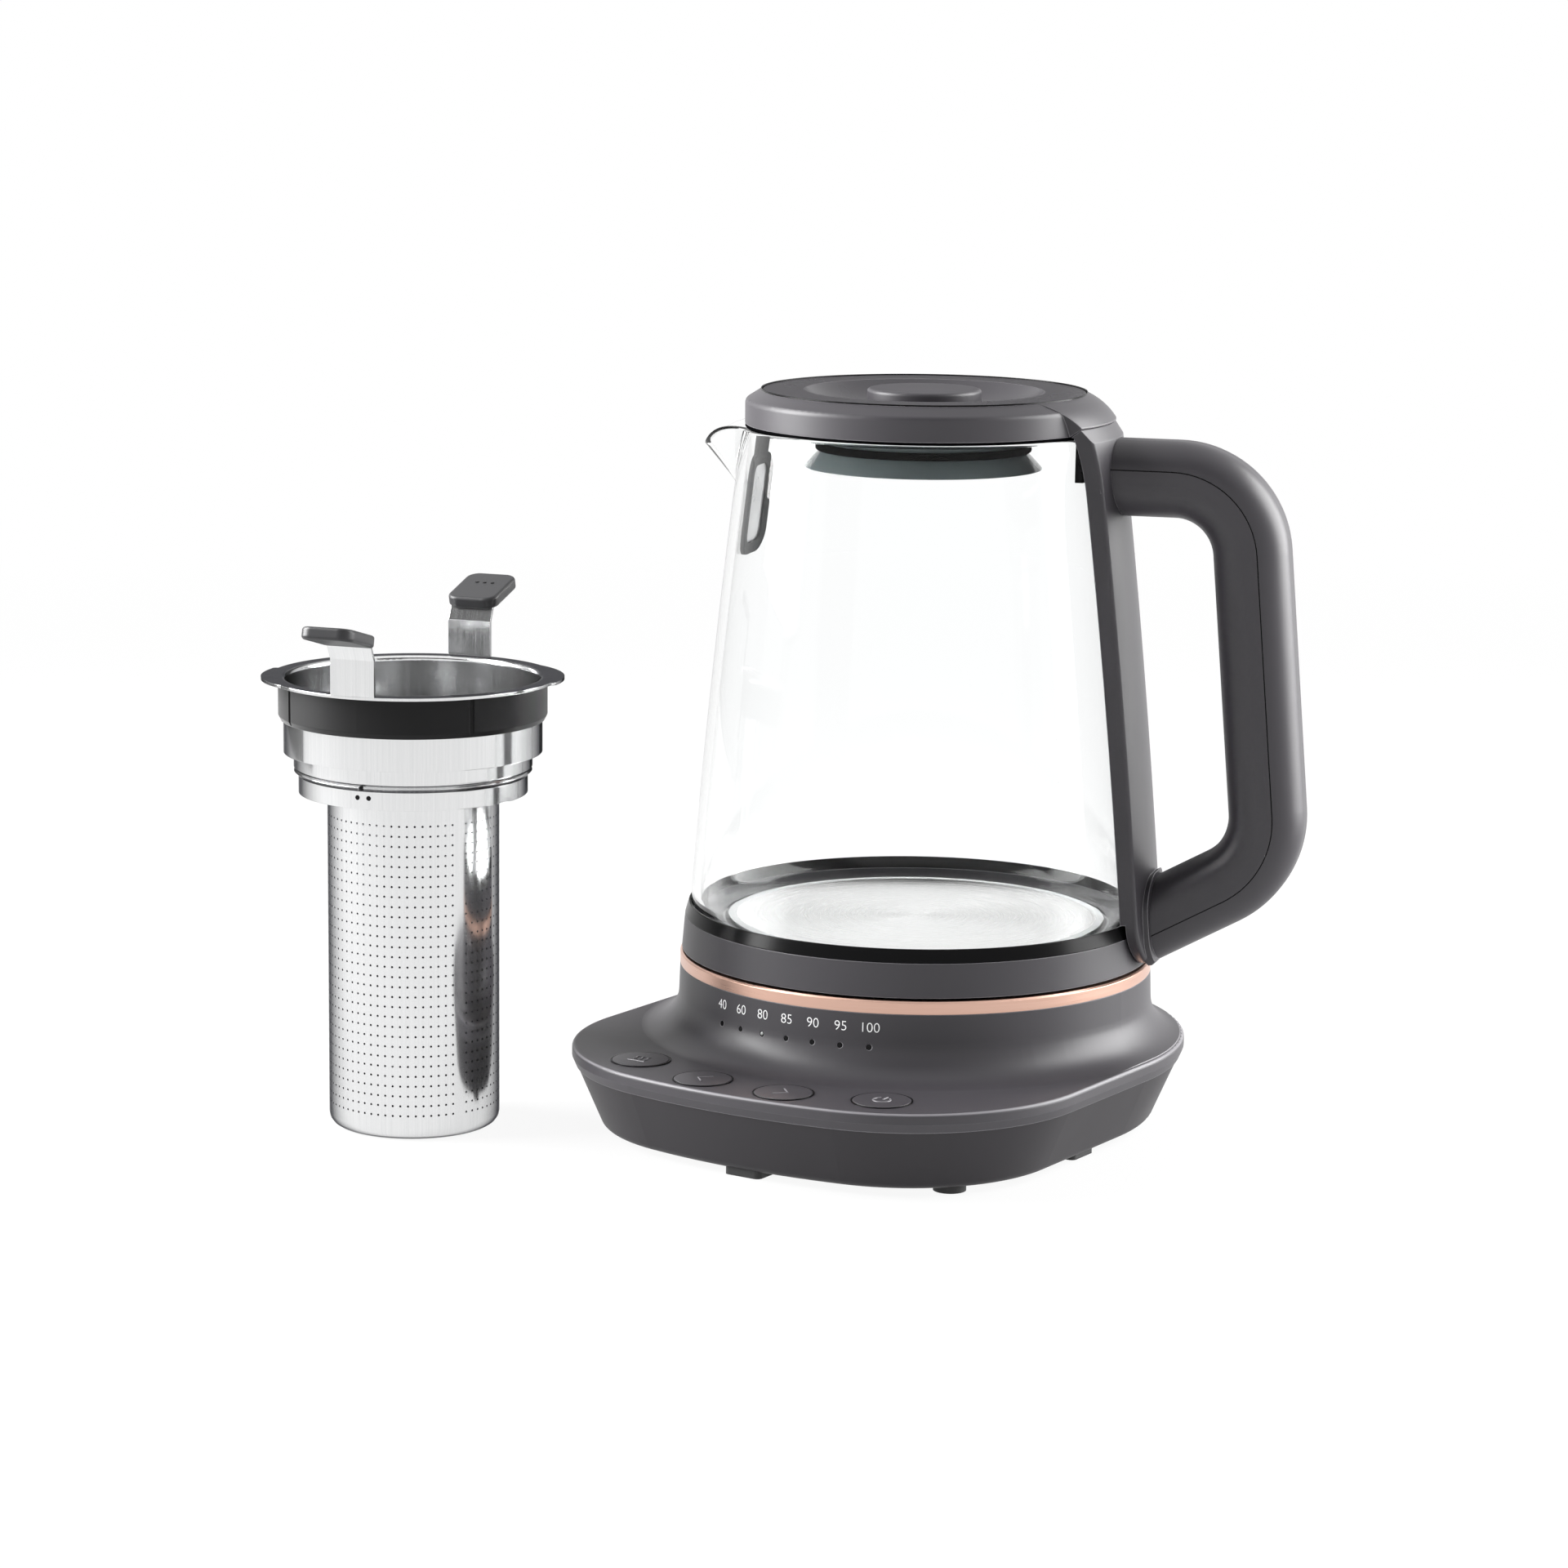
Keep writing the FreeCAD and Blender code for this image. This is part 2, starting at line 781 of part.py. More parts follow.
def spout_form(wall):
    """Beak of the spout, lofted through level triangles with rounded tips; wall thins it."""
    top = glass_rim_z + 2 * glass_wall
    slope = (spout_tip_radius - glass_r(spout_knee_z)) / (spout_tip_z - spout_knee_z)
    reaches = (
        (spout_start_z, glass_r(spout_start_z), spout_half_widths[0]),
        (spout_knee_z, glass_r(spout_knee_z) + glass_wall / 2, spout_half_widths[1]),
        (spout_tip_z, spout_tip_radius, spout_half_widths[2]),
        (top, spout_tip_radius + slope * (top - spout_tip_z) / 2, spout_half_widths[3]),
    )
    wires = []
    for z, reach, half in reaches:
        root = glass_r(z) - 3 * glass_wall
        tip = (-reach + wall, 0, spout_tip_round)
        wires.append(outline([(-root, -half + wall / 2), tip, (-root, half - wall / 2)], level(z)))
    return outward(Part.makeLoft(wires, True, False))


def glass_jug():
    over = glass_rim_z + 4 * glass_wall
    outer = fused([glass_form(0, glass_floor_z, glass_rim_z), spout_form(0)])
    inner = glass_form(-glass_wall, glass_floor_z + glass_wall, glass_rim_z)
    inner = fused([inner, spout_form(glass_wall)])
    mouth = rod(glass_top_radius - glass_wall, glass_rim_z - tiny, over)
    hole = rod(plate_radius + gasket_lip, glass_floor_z - glass_wall, 3 * glass_wall)
    drop = glass_rim_z - spout_tip_z
    run = spout_reach
    far = 2 * run
    lip = across([
        (-glass_top_radius, glass_rim_z), (-glass_top_radius - far, glass_rim_z - far * drop / run),
        (-glass_top_radius - far, over), (glass_top_radius, over), (glass_top_radius, glass_rim_z),
    ], glass_top_radius + far)
    return outer.cut(inner).cut(mouth).cut(hole).cut(lip)


def heating_plate():
    skirt = plate_radius - heater_plate_thickness
    flange = plate_radius + plate_flange
    low = flange_top_z - heater_plate_thickness
    return turned([
        (0, plate_under_top_z), (skirt, plate_under_top_z), (skirt, low), (flange, low),
        (flange, flange_top_z), (plate_radius, flange_top_z), (plate_radius, plate_top_z), (0, plate_top_z),
    ])


def plate_gasket():
    """Silicone ring that wraps the edge of the hole in the glass."""
    inner = plate_radius
    outer = plate_radius + plate_flange
    hole = plate_radius + gasket_lip
    ring_top = glass_floor_z + glass_wall
    return turned([
        (inner, flange_top_z), (outer, flange_top_z), (outer, glass_floor_z), (hole, glass_floor_z),
        (hole, ring_top), (hole + gasket_lip, ring_top),
        (hole + gasket_lip, plate_top_z), (inner, plate_top_z),
    ])


def heat_spreader():
    return rod(spreader_radius, spreader_low_z, spreader_thickness)


def heating_element():
    """Sheathed element: most of a ring pressed against the spreader."""
    z = spreader_low_z - element_tube_radius
    section = Part.Face(Part.Wire(Part.makeCircle(element_tube_radius, Vector(element_ring_radius, 0, z),
                                                  Vector(0, 1, 0))))
    section.rotate(centre, up, (360 - element_sweep) / 2)
    return outward(section.revolve(centre, up, element_sweep))


def temperature_sensor():
    return rod(sensor_radius, spreader_low_z - sensor_height, sensor_height, 0, -sensor_reach)


def thermostat():
    return rod(thermostat_radius, spreader_low_z - thermostat_height, thermostat_height, 0, sensor_reach)


def jug_collar():
    """Grey ring round the jug's foot, with the shelf that clamps the heating plate's flange."""
    inner = collar_top_radius - jug_collar_wall
    shelf_inner = plate_radius + heater_plate_thickness
    return turned([
        (collar_bottom_radius, collar_z), (collar_top_radius, collar_top_z), (inner, collar_top_z),
        (inner, shelf_top_z), (shelf_inner, shelf_top_z), (shelf_inner, cover_top_z),
        (inner, cover_top_z), (inner, collar_z),
    ])


def glass_band():
    inner = glass_foot_radius + seat_gap
    return turned([
        (inner, collar_top_z), (collar_top_radius, collar_top_z),
        (band_top_radius, band_top_z), (inner, band_top_z),
    ])


def jug_bottom_cover():
    outer = collar_top_radius - jug_collar_wall - seat_gap
    hub = socket_radius + swivel_gap
    foot = cover_foot_radius
    return turned([
        (hub, collar_z), (foot - cover_foot_wall, collar_z), (foot - cover_foot_wall, dish_z), (foot, dish_z),
        (foot, collar_z), (outer, collar_z), (outer, cover_top_z), (hub, cover_top_z),
    ])


def jug_connector():
    """Round socket that drops over the base's post and lets the jug turn on it."""
    lip_z = cover_top_z + socket_lip_gap
    top = socket_roof_z + socket_roof
    return turned([
        (0, socket_roof_z), (socket_bore, socket_roof_z), (socket_bore, socket_low_z),
        (socket_radius, socket_low_z), (socket_radius, lip_z), (socket_radius + socket_lip, lip_z),
        (socket_radius + socket_lip, top), (0, top),
    ])


def slope_z(r):
    """Height of the mouth collar's sloping top at radius r."""
    fall = (mouth_top_z - mouth_side_z) / (mouth_radius - mouth_seam_radius)
    return mouth_top_z - fall * (r - mouth_seam_radius)


def cape_low_z(r):
    """Parting line between the mouth collar's cape and the spine."""
    rise = (slope_z(cape_radius) - cape_height - mouth_low_z) / (cape_radius - mouth_radius)
    return mouth_low_z + rise * (r - mouth_radius)


def mouth_collar():
    """Collar on the glass rim, with a crowned cape that runs down to the spine."""
    ring = turned([
        (mouth_bore, mouth_low_z), (mouth_radius, mouth_low_z), (mouth_radius, mouth_side_z, mouth_edge_round),
        (mouth_seam_radius, mouth_top_z), (mouth_seam_radius, mouth_ledge_z), (mouth_bore, mouth_ledge_z),
    ])
    root = mouth_seam_radius + seam_gap
    run = cape_radius - root
    low = cape_low_z(cape_radius) + cape_edge
    fall = slope_z(root) - low
    lift = cape_bulge / math.hypot(run, fall)
    crown = Via((root + cape_radius) / 2 + lift * fall, (slope_z(root) + low) / 2 + lift * run)
    cape = turned([
        (root, mouth_low_z), (mouth_radius, mouth_low_z), (cape_radius, cape_low_z(cape_radius)),
        (cape_radius, low), crown, (root, slope_z(root)),
    ], -spine_sweep / 2, spine_sweep)
    return fused([ring, cape.common(spine_strip())])


def mouth_gasket():
    outer = mouth_radius - seat_gap
    return turned([
        (mouth_gasket_inner, glass_rim_z), (outer, glass_rim_z),
        (outer, mouth_low_z), (mouth_gasket_inner, mouth_low_z),
    ])


def spine_section(grow=0.0):
    """Section of the spine in the handle's plane, standing off the glass all the way down."""
    shoulder_z = band_top_z + seam_gap
    depth = spine_depth + grow
    bend_z = grip_arm_z + grip_height / 2 + seam_gap
    neck = mouth_radius + seam_gap
    return [
        (collar_bottom_radius + seam_gap, spine_foot_z),
        (glass_r(spine_foot_z) + depth - spine_foot_chamfer, spine_foot_z),
        *wall_run(depth, spine_foot_z + spine_foot_chamfer, bend_z),
        (cape_radius - seam_gap, cape_low_z(cape_radius) - seam_gap), (neck, cape_low_z(neck) - seam_gap),
        *reversed(wall_run(seam_gap, shoulder_z, mouth_low_z - seam_gap)),
        (collar_top_radius + seam_gap, shoulder_z), (collar_bottom_radius + seam_gap, collar_z),
    ]


def spine_strip(grow=0.0):
    """Outline of the spine seen from behind: a rounded end, straight sides and a flare into the collar."""
    half = spine_half_width + grow
    cape = spine_cape_half_width + grow
    bend_x = half + (cape - half) * flare_share ** 2
    bend_z = spine_flare_z + (mouth_top_z - spine_flare_z) * flare_share
    points = [
        (-half, spine_foot_z - grow, spine_end_round), (half, spine_foot_z - grow, spine_end_round),
        (half, spine_flare_z), Via(bend_x, bend_z), (cape, mouth_top_z),
        (-cape, mouth_top_z), Via(-bend_x, bend_z), (-half, spine_flare_z),
    ]
    face = Part.Face(outline(points, lambda p: Vector(0, p.x, p.y)))
    return outward(face.extrude(Vector(2 * cape_radius, 0, 0)))


def spine_form(grow=0.0):
    """The spine's section turned about the jug's axis and cut to its outline."""
    return turned(spine_section(grow), -spine_sweep / 2, spine_sweep).common(spine_strip(grow))


def outer_edges(shape):
    """The spine's two long edges, away from the glass."""
    picked = []
    for edge in shape.Edges:
        middle = edge.valueAt((edge.FirstParameter + edge.LastParameter) / 2)
        stands_off = math.hypot(middle.x, middle.y) - glass_r(middle.z) > spine_depth / 2
        if stands_off and edge.BoundBox.ZLength > (spine_flare_z - spine_foot_z) / 2:
            picked.append(edge)
    return picked


def spine_body():
    body = spine_form()
    return body.makeFillet(spine_edge_round, outer_edges(body))


def grip_path():
    """Centre line of the handle: out, down the grip and back in to the jug's foot."""
    low_x = glass_foot_radius + grip_low_reach
    end_z = grip_low_z - grip_low_reach * math.tan(math.radians(grip_arm_tilt))
    points = [
        (glass_top_radius, grip_arm_z), (glass_top_radius + grip_top_reach, grip_arm_z, grip_top_round),
        (low_x, grip_low_z, grip_low_round), (glass_foot_radius, end_z),
    ]
    return outline(points, side, closed=False)


def along_grip(points):
    """A section, across and up from the centre line, swept along the handle."""
    place = lambda p: Vector(glass_top_radius, p.x, grip_arm_z + p.y)
    return outward(grip_path().makePipeShell([outline(points, place)], True, False))


def grip_tube(grow=0.0):
    half_w = grip_width / 2 + grow
    half_h = grip_height / 2 + grow
    corners = [(-half_w, -half_h), (half_w, -half_h), (half_w, half_h), (-half_w, half_h)]
    return along_grip([(x, y, grip_corner) for x, y in corners])


def grip_outside():
    """Everything round the handle that lies outside its seam."""
    return along_grip([(-grip_width, grip_seam), (grip_width, grip_seam),
                       (grip_width, grip_height), (-grip_width, grip_height)])


def handle_spine():
    """Spine with a bead round the handle's lower end."""
    low = block(4 * cape_radius, 4 * grip_width, grip_low_z, 2 * cape_radius, 0, 0)
    bead = spine_form(grip_bead_rise).common(grip_tube(grip_bead)).common(low)
    body = fused([spine_body(), bead])
    return body.cut(grip_tube().cut(spine_body()))


def handle_shell(form):
    """One of the handle's two shells, ending on the spine's outer face."""
    return max(form.cut(spine_body()).Solids, key=lambda solid: solid.Volume)


def handle_clamp():
    """Plate inside the glass that hangs from the mouth collar and backs the spine's top."""
    outer = mouth_gasket_inner - seat_gap
    low = mouth_low_z - clamp_height
    return turned([
        (outer - clamp_wall, low), (outer, low), (outer, mouth_low_z), (outer - clamp_wall, mouth_low_z),
    ], -clamp_half_angle, 2 * clamp_half_angle)


def filter_shell(near, far):
    """Skin that follows the inner face of the glass between two offsets from it."""
    outer = wall_run(-glass_wall - near, filter_low_z, glass_rim_z)
    inner = wall_run(-glass_wall - far, filter_low_z, glass_rim_z)
    return turned([*outer, *reversed(inner)], 180 - filter_sweep / 2, filter_sweep)


def filter_window(inset):
    half = filter_half_width - inset
    low = filter_low_z + inset
    high = filter_high_z - inset
    corner = filter_corner - inset
    place = lambda p: Vector(0, p.x, p.y)
    corners = [(-half, low), (half, low), (half, high), (-half, high)]
    wire = outline([(y, z, corner) for y, z in corners], place)
    return outward(Part.Face(wire).extrude(Vector(-2 * glass_foot_radius, 0, 0)))


def filter_frame():
    bars = filter_window(0).cut(filter_window(filter_frame_bar))
    root_z = filter_high_z - filter_frame_bar / 2
    reach = 2 * glass_foot_radius
    tab = block(reach, 2 * filter_tab_half_width, glass_rim_z - root_z, -reach / 2, 0, root_z)
    return fused([bars, tab]).common(filter_shell(seam_gap, seam_gap + filter_thickness))


def filter_mesh():
    middle = seam_gap + filter_thickness / 2
    return filter_window(filter_frame_bar).common(
        filter_shell(middle - filter_mesh_thickness / 2, middle + filter_mesh_thickness / 2))


# Lid

def lid_cover():
    """Top of the lid: a rim round a dish, with the knob's seat in the middle."""
    return turned([
        (0, dish_floor_z - lid_skin), (lid_dish_floor_radius, dish_floor_z - lid_skin),
        (lid_dish_radius, mouth_ledge_z), (lid_radius, mouth_ledge_z), (lid_radius, lid_top_z, lid_edge_round),
        (lid_dish_radius, lid_top_z, lid_dish_round), (lid_dish_floor_radius, dish_floor_z, lid_dish_round),
        (0, dish_floor_z),
    ])


def lid_knob():
    top = dish_floor_z + lid_knob_height
    return turned([
        (0, dish_floor_z), (lid_knob_radius, dish_floor_z), (lid_knob_radius, top, lid_knob_round), (0, top),
    ])


def lid_plug():
    """Body under the lid that drops into the mouth and narrows to the seal."""
    return turned([
        (0, lid_plug_waist_z), (lid_plug_waist, lid_plug_waist_z), (lid_plug_shoulder, mouth_low_z),
        (lid_plug_neck, mouth_low_z), (lid_plug_neck, mouth_ledge_z), (lid_dish_radius, mouth_ledge_z),
        (lid_dish_floor_radius, dish_floor_z - lid_skin), (0, dish_floor_z - lid_skin),
    ])


def lid_seal():
    low = lid_skirt_top_z
    return turned([
        (0, low), (lid_plug_waist, low), (lid_seal_radius, lid_plug_waist_z - lid_seal_height / 2),
        (lid_plug_waist, lid_plug_waist_z), (0, lid_plug_waist_z),
    ])


def lid_skirt():
    top = lid_skirt_top_z
    return turned([
        (0, lid_skirt_z + lid_skin), (lid_skirt_radius - 2 * lid_skin, lid_skirt_z),
        (lid_skirt_radius, lid_skirt_z), (lid_plug_waist, top), (0, top),
    ])


# Tea infuser

def infuser_basket():
    """Deep-drawn cup; its fine perforations are left to the finish."""
    inner = basket_radius - basket_wall
    return turned([
        (0, 0), (basket_radius, 0, basket_round), (basket_radius, basket_height), (inner, basket_height),
        (inner, basket_wall, basket_round - basket_wall), (0, basket_wall),
    ])


def polar(radius, degrees):
    turn = math.radians(degrees)
    return radius * math.cos(turn), radius * math.sin(turn)


def ear(turn):
    """Wing of the rim: it swells out of the edge and ends in a step."""
    inner = (rim_inner_radius + rim_radius) / 2
    swell = Via(*polar(ear_radius, (ear_start + ear_end) / 2))
    plan = [polar(rim_radius, ear_start), swell, (*polar(ear_radius, ear_end), ear_round),
            polar(inner, ear_end), polar(inner, (ear_start + ear_end) / 2), polar(inner, ear_start)]
    solid = slab(plan, rim_low_z, sheet)
    solid.rotate(centre, up, turn)
    return solid


def infuser_collar():
    """Stepped sheet-metal funnel with a bead, a flanged rim and two ears."""
    steps = [
        (basket_radius, funnel_low_z), (funnel_low_radius, funnel_low_z),
        (funnel_low_radius, funnel_bead_z - funnel_bead),
        (funnel_low_radius + funnel_bead, funnel_bead_z), (funnel_low_radius, funnel_bead_z + funnel_bead),
        (funnel_mid_radius, funnel_bead_z + funnel_bead), (funnel_mid_radius, funnel_mid_z),
        (funnel_wide_radius, funnel_mid_z), (funnel_wide_radius, rim_low_z), (rim_radius, rim_low_z),
        (rim_radius, infuser_rim_z), (rim_inner_radius, infuser_rim_z, rim_round),
        (rim_inner_radius, funnel_mid_z + sheet),
        (funnel_mid_radius - sheet, funnel_mid_z + sheet), (funnel_mid_radius - sheet, funnel_bead_z),
        (funnel_low_radius - sheet, funnel_bead_z - funnel_bead),
        (funnel_low_radius - sheet, funnel_low_z + sheet),
        (basket_radius, funnel_low_z + sheet),
    ]
    return fused([turned(steps), ear(0), ear(180)])


def infuser_sleeve():
    """Silicone band that seals the infuser in the kettle's mouth, notched so that it can stretch."""
    inner = funnel_wide_radius
    outer = inner + sleeve_wall
    low = sleeve_top_z - sleeve_height
    band = turned([
        (inner, low), (outer - sleeve_wall / 2, low), (outer, low + sleeve_wall),
        (outer, sleeve_top_z), (inner, sleeve_top_z),
    ])
    step = 360 / sleeve_notch_count
    spots = [polar(outer, sleeve_notch_angle + i * step) for i in range(sleeve_notch_count)]
    return band.cut(group([rod(sleeve_notch, low, sleeve_height, x, y) for x, y in spots]))


def strap(turn):
    """Tab on the rim, bent outwards near its end."""
    end = infuser_rim_z + strap_rise
    bend = end - strap_bend
    solid = across([
        (strap_reach, infuser_rim_z), (rim_radius, infuser_rim_z), (rim_radius, bend),
        (rim_radius + strap_lean, end), (strap_reach + strap_lean, end), (strap_reach, bend),
    ], strap_width / 2)
    solid.rotate(centre, up, turn)
    return solid


def paddle(turn):
    """Dark grip on the strap, tilted up and outwards."""
    half = paddle_width / 2
    corners = [(-paddle_lap, -half), (paddle_length, -half), (paddle_length, half), (-paddle_lap, half)]
    solid = slab([(x, y, paddle_round) for x, y in corners], 0, paddle_thickness)
    solid = solid.makeFillet(paddle_edge_round, edges_at(solid, 0) + edges_at(solid, paddle_thickness))
    solid.rotate(centre, Vector(0, -1, 0), paddle_tilt)
    solid.translate(Vector(rim_radius + strap_lean, 0, infuser_rim_z + strap_rise - paddle_seat))
    solid.rotate(centre, up, turn)
    return solid.cut(strap(turn))


def on_base():
    nodes = {
        "base_bottom_shell": base_bottom_shell(), "base_top_shell": base_top_shell(),
        "base_feet": group(foot_solids()),
        "base_screws": group([base_screw(x, y) for x, y in screw_places()]),
        "control_board": control_board(), "button_switches": button_switches(),
        "light_pipe": light_pipe(), "indicator_board": indicator_board(),
        "power_board": power_board(), "relay": relay(), "capacitor": capacitor(), "cord_inlet": cord_inlet(),
        "trim_ring": trim_ring(), "base_connector": base_connector(), "base_contacts": base_contacts(),
    }
    for name, (x, y) in zip(button_names, button_spots()):
        nodes[name] = button(x, y)
    return nodes


def on_jug():
    return {
        "glass_jug": glass_jug(), "plate_gasket": plate_gasket(), "heating_plate": heating_plate(),
        "heat_spreader": heat_spreader(), "heating_element": heating_element(),
        "temperature_sensor": temperature_sensor(), "thermostat": thermostat(),
        "jug_collar": jug_collar(), "glass_band": glass_band(), "jug_bottom_cover": jug_bottom_cover(),
        "jug_connector": jug_connector(), "mouth_collar": mouth_collar(), "mouth_gasket": mouth_gasket(),
        "handle_spine": handle_spine(),
        "handle_outer": handle_shell(grip_tube().common(grip_outside())),
        "handle_inner": handle_shell(grip_tube().cut(grip_outside())),
        "handle_clamp": handle_clamp(), "filter_frame": filter_frame(), "filter_mesh": filter_mesh(),
        "lid_cover": lid_cover(), "lid_knob": lid_knob(), "lid_plug": lid_plug(),
        "lid_seal": lid_seal(), "lid_skirt": lid_skirt(),
    }


def on_infuser():
    return {
        "infuser_basket": infuser_basket(), "infuser_collar": infuser_collar(),
        "infuser_sleeve": infuser_sleeve(),
        "strap_front": strap(0), "strap_rear": strap(180), "grip_front": paddle(0), "grip_rear": paddle(180),
    }


def main():
    os.makedirs("parts", exist_ok=True)
    nodes = on_base()
    for name, shape in on_jug().items():
        shape.rotate(centre, up, jug_turn)
        nodes[name] = shape
    for name, shape in on_infuser().items():
        shape.rotate(centre, up, infuser_turn)
        shape.translate(Vector(infuser_x, infuser_y, 0))
        nodes[name] = shape
    for name, shape in nodes.items():
        print(name, shape.ShapeType, len(shape.Solids), round(shape.Volume), shape.isValid())
        shape.exportStep("parts/" + name + ".step")


main()
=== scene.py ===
# %% [markdown]
# # A glass tea kettle on its power base, with its tea infuser
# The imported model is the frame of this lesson: every solid already stands in metres at its real place and
# rides on the body that carries it. The cells below set the camera and the studio, mix the finishes, and
# model again, with bmesh operators, the pieces whose detail the solids leave out: the drawn lip of the glass,
# the bowl of the lid, the seams and seals, the perforated basket, the printing and the symbols.

# %% Load the frame
import math

import bmesh
import bpy
from mathutils import Matrix, Quaternion, Vector


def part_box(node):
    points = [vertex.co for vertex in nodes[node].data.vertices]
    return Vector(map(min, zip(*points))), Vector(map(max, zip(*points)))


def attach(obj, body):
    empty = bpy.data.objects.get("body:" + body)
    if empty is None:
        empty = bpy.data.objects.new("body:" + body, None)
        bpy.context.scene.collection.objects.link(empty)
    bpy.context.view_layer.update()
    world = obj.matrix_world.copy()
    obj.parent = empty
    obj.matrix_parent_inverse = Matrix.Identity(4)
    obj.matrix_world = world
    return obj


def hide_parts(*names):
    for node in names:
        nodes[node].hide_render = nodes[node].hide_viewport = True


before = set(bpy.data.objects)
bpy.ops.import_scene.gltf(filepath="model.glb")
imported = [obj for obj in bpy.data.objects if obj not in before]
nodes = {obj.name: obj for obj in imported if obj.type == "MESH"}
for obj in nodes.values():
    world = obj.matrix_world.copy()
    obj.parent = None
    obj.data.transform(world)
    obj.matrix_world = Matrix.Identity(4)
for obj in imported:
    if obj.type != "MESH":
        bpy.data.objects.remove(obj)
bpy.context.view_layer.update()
mm = 0.001
weld = 1e-7
up = Vector((0, 0, 1))
print("CAD nodes in the frame:", len(nodes))

# %% [markdown]
# ## Camera
# The photograph was taken with a long lens from the front right, a little above the lid. A long lens far away
# keeps the kettle's sides nearly parallel. The picture leans by a fraction of a degree, so the camera is
# rolled by that much about its own axis.

# %% Camera
eye = Vector((812.5, -1336.3, 403.3)) * mm
look = Vector((-0.5356, 0.8248, -0.1810))
camera_roll = 0.011
camera = bpy.data.objects.new("camera", bpy.data.cameras.new("camera"))
camera.data.lens = 105.5
camera.data.sensor_width = 36.0
camera.data.clip_start = 0.05
camera_turn = look.to_track_quat("-Z", "Y") @ Quaternion((0, 0, 1), camera_roll)
camera.matrix_world = Matrix.Translation(eye) @ camera_turn.to_matrix().to_4x4()
bpy.context.scene.collection.objects.link(camera)
bpy.context.scene.camera = camera
bpy.context.scene.view_settings.view_transform = "Standard"
print("camera at", [round(v, 3) for v in eye])

# %% [markdown]
# ## Nodes in a few words
# Every material and group below is a small tree of nodes. One helper adds a node, sets its options and its
# unlinked sockets, and another joins sockets, so that a tree reads as a short list of what feeds what. A
# third tells who looks at a surface, and a fourth puts a finished bmesh into the scene.


# %% Helpers for nodes and meshes
def add(tree, kind, values=None, **options):
    """Add a shader node, set its options, then the values of its sockets by name or number."""
    node = tree.nodes.new("ShaderNode" + kind)
    for option, value in options.items():
        setattr(node, option, value)
    for socket, value in (values or {}).items():
        node.inputs[socket].default_value = value
    return node


def join(tree, *pairs):
    """Link each (output, input) pair."""
    for output, target in pairs:
        tree.links.new(output, target)


def looked_at(tree):
    """1 where the camera, glass or metal looks at a surface, 0 for the light it throws on other pieces."""
    path = add(tree, "LightPath")
    seen = add(tree, "Math", operation="MAXIMUM")
    shown = add(tree, "Math", operation="MAXIMUM")
    join(tree, (path.outputs["Is Camera Ray"], seen.inputs[0]),
         (path.outputs["Is Transmission Ray"], seen.inputs[1]),
         (seen.outputs[0], shown.inputs[0]), (path.outputs["Is Glossy Ray"], shown.inputs[1]))
    return shown.outputs[0]


def place_mesh(name, bm, material):
    """Link a bmesh into the scene as an object with one material."""
    mesh = bpy.data.meshes.new(name)
    bm.to_mesh(mesh)
    bm.free()
    mesh.materials.append(material)
    thing = bpy.data.objects.new(name, mesh)
    bpy.context.scene.collection.objects.link(thing)
    return thing


print("node and mesh helpers ready")

# %% [markdown]
# ## Studio
# The object stands on a white sweep. A white world would do, but then every surface gets the same light from
# all sides and looks flat. So the world is white where the camera, glass or metal looks at it, and a softer
# grey for the light that falls on the pieces, with three soft boxes for the modelling. The floor shines white
# by itself and adds only a little of the light that falls on it, which is enough to keep a faint shadow near
# the object; further away it is all glow, so that no horizon shows.

# %% World
soft_light, full_light = 0.3, 1.0
world = bpy.data.worlds.new("studio")
bpy.context.scene.world = world
world.use_nodes = True
tree = world.node_tree
background = tree.nodes["Background"]
background.inputs["Color"].default_value = (1, 1, 1, 1)
strength = add(tree, "MapRange", {"To Min": soft_light, "To Max": full_light})
join(tree, (looked_at(tree), strength.inputs["Value"]), (strength.outputs[0], background.inputs["Strength"]))
print("world light from", soft_light, "to", full_light)

# %% Floor
floor_half = 4.0
near_glow, far_glow = 0.92, 1.0
near_reach, far_reach = 0.35, 1.5
paper_white = 0.85
sweep = bpy.data.materials.new("white_sweep")
sweep.use_nodes = True
tree = sweep.node_tree
tree.nodes.clear()
where = add(tree, "TexCoord")
reach = add(tree, "VectorMath", operation="LENGTH")
glow_share = add(tree, "MapRange", {"From Min": near_reach, "From Max": far_reach, "To Min": near_glow,
                                    "To Max": far_glow})
share = add(tree, "Math", operation="MULTIPLY")
paper = add(tree, "BsdfDiffuse", {"Color": (paper_white, paper_white, paper_white, 1)})
glow = add(tree, "Emission", {"Color": (1, 1, 1, 1), "Strength": 1.0})
blend = add(tree, "MixShader")
surface = add(tree, "OutputMaterial")
join(tree, (where.outputs["Object"], reach.inputs[0]), (reach.outputs["Value"], glow_share.inputs["Value"]),
     (looked_at(tree), share.inputs[0]), (glow_share.outputs[0], share.inputs[1]),
     (share.outputs[0], blend.inputs["Fac"]), (paper.outputs[0], blend.inputs[1]),
     (glow.outputs[0], blend.inputs[2]), (blend.outputs[0], surface.inputs["Surface"]))
bm = bmesh.new()
bmesh.ops.create_grid(bm, x_segments=1, y_segments=1, size=floor_half)
floor = place_mesh("floor", bm, sweep)
print("floor half width", floor_half)

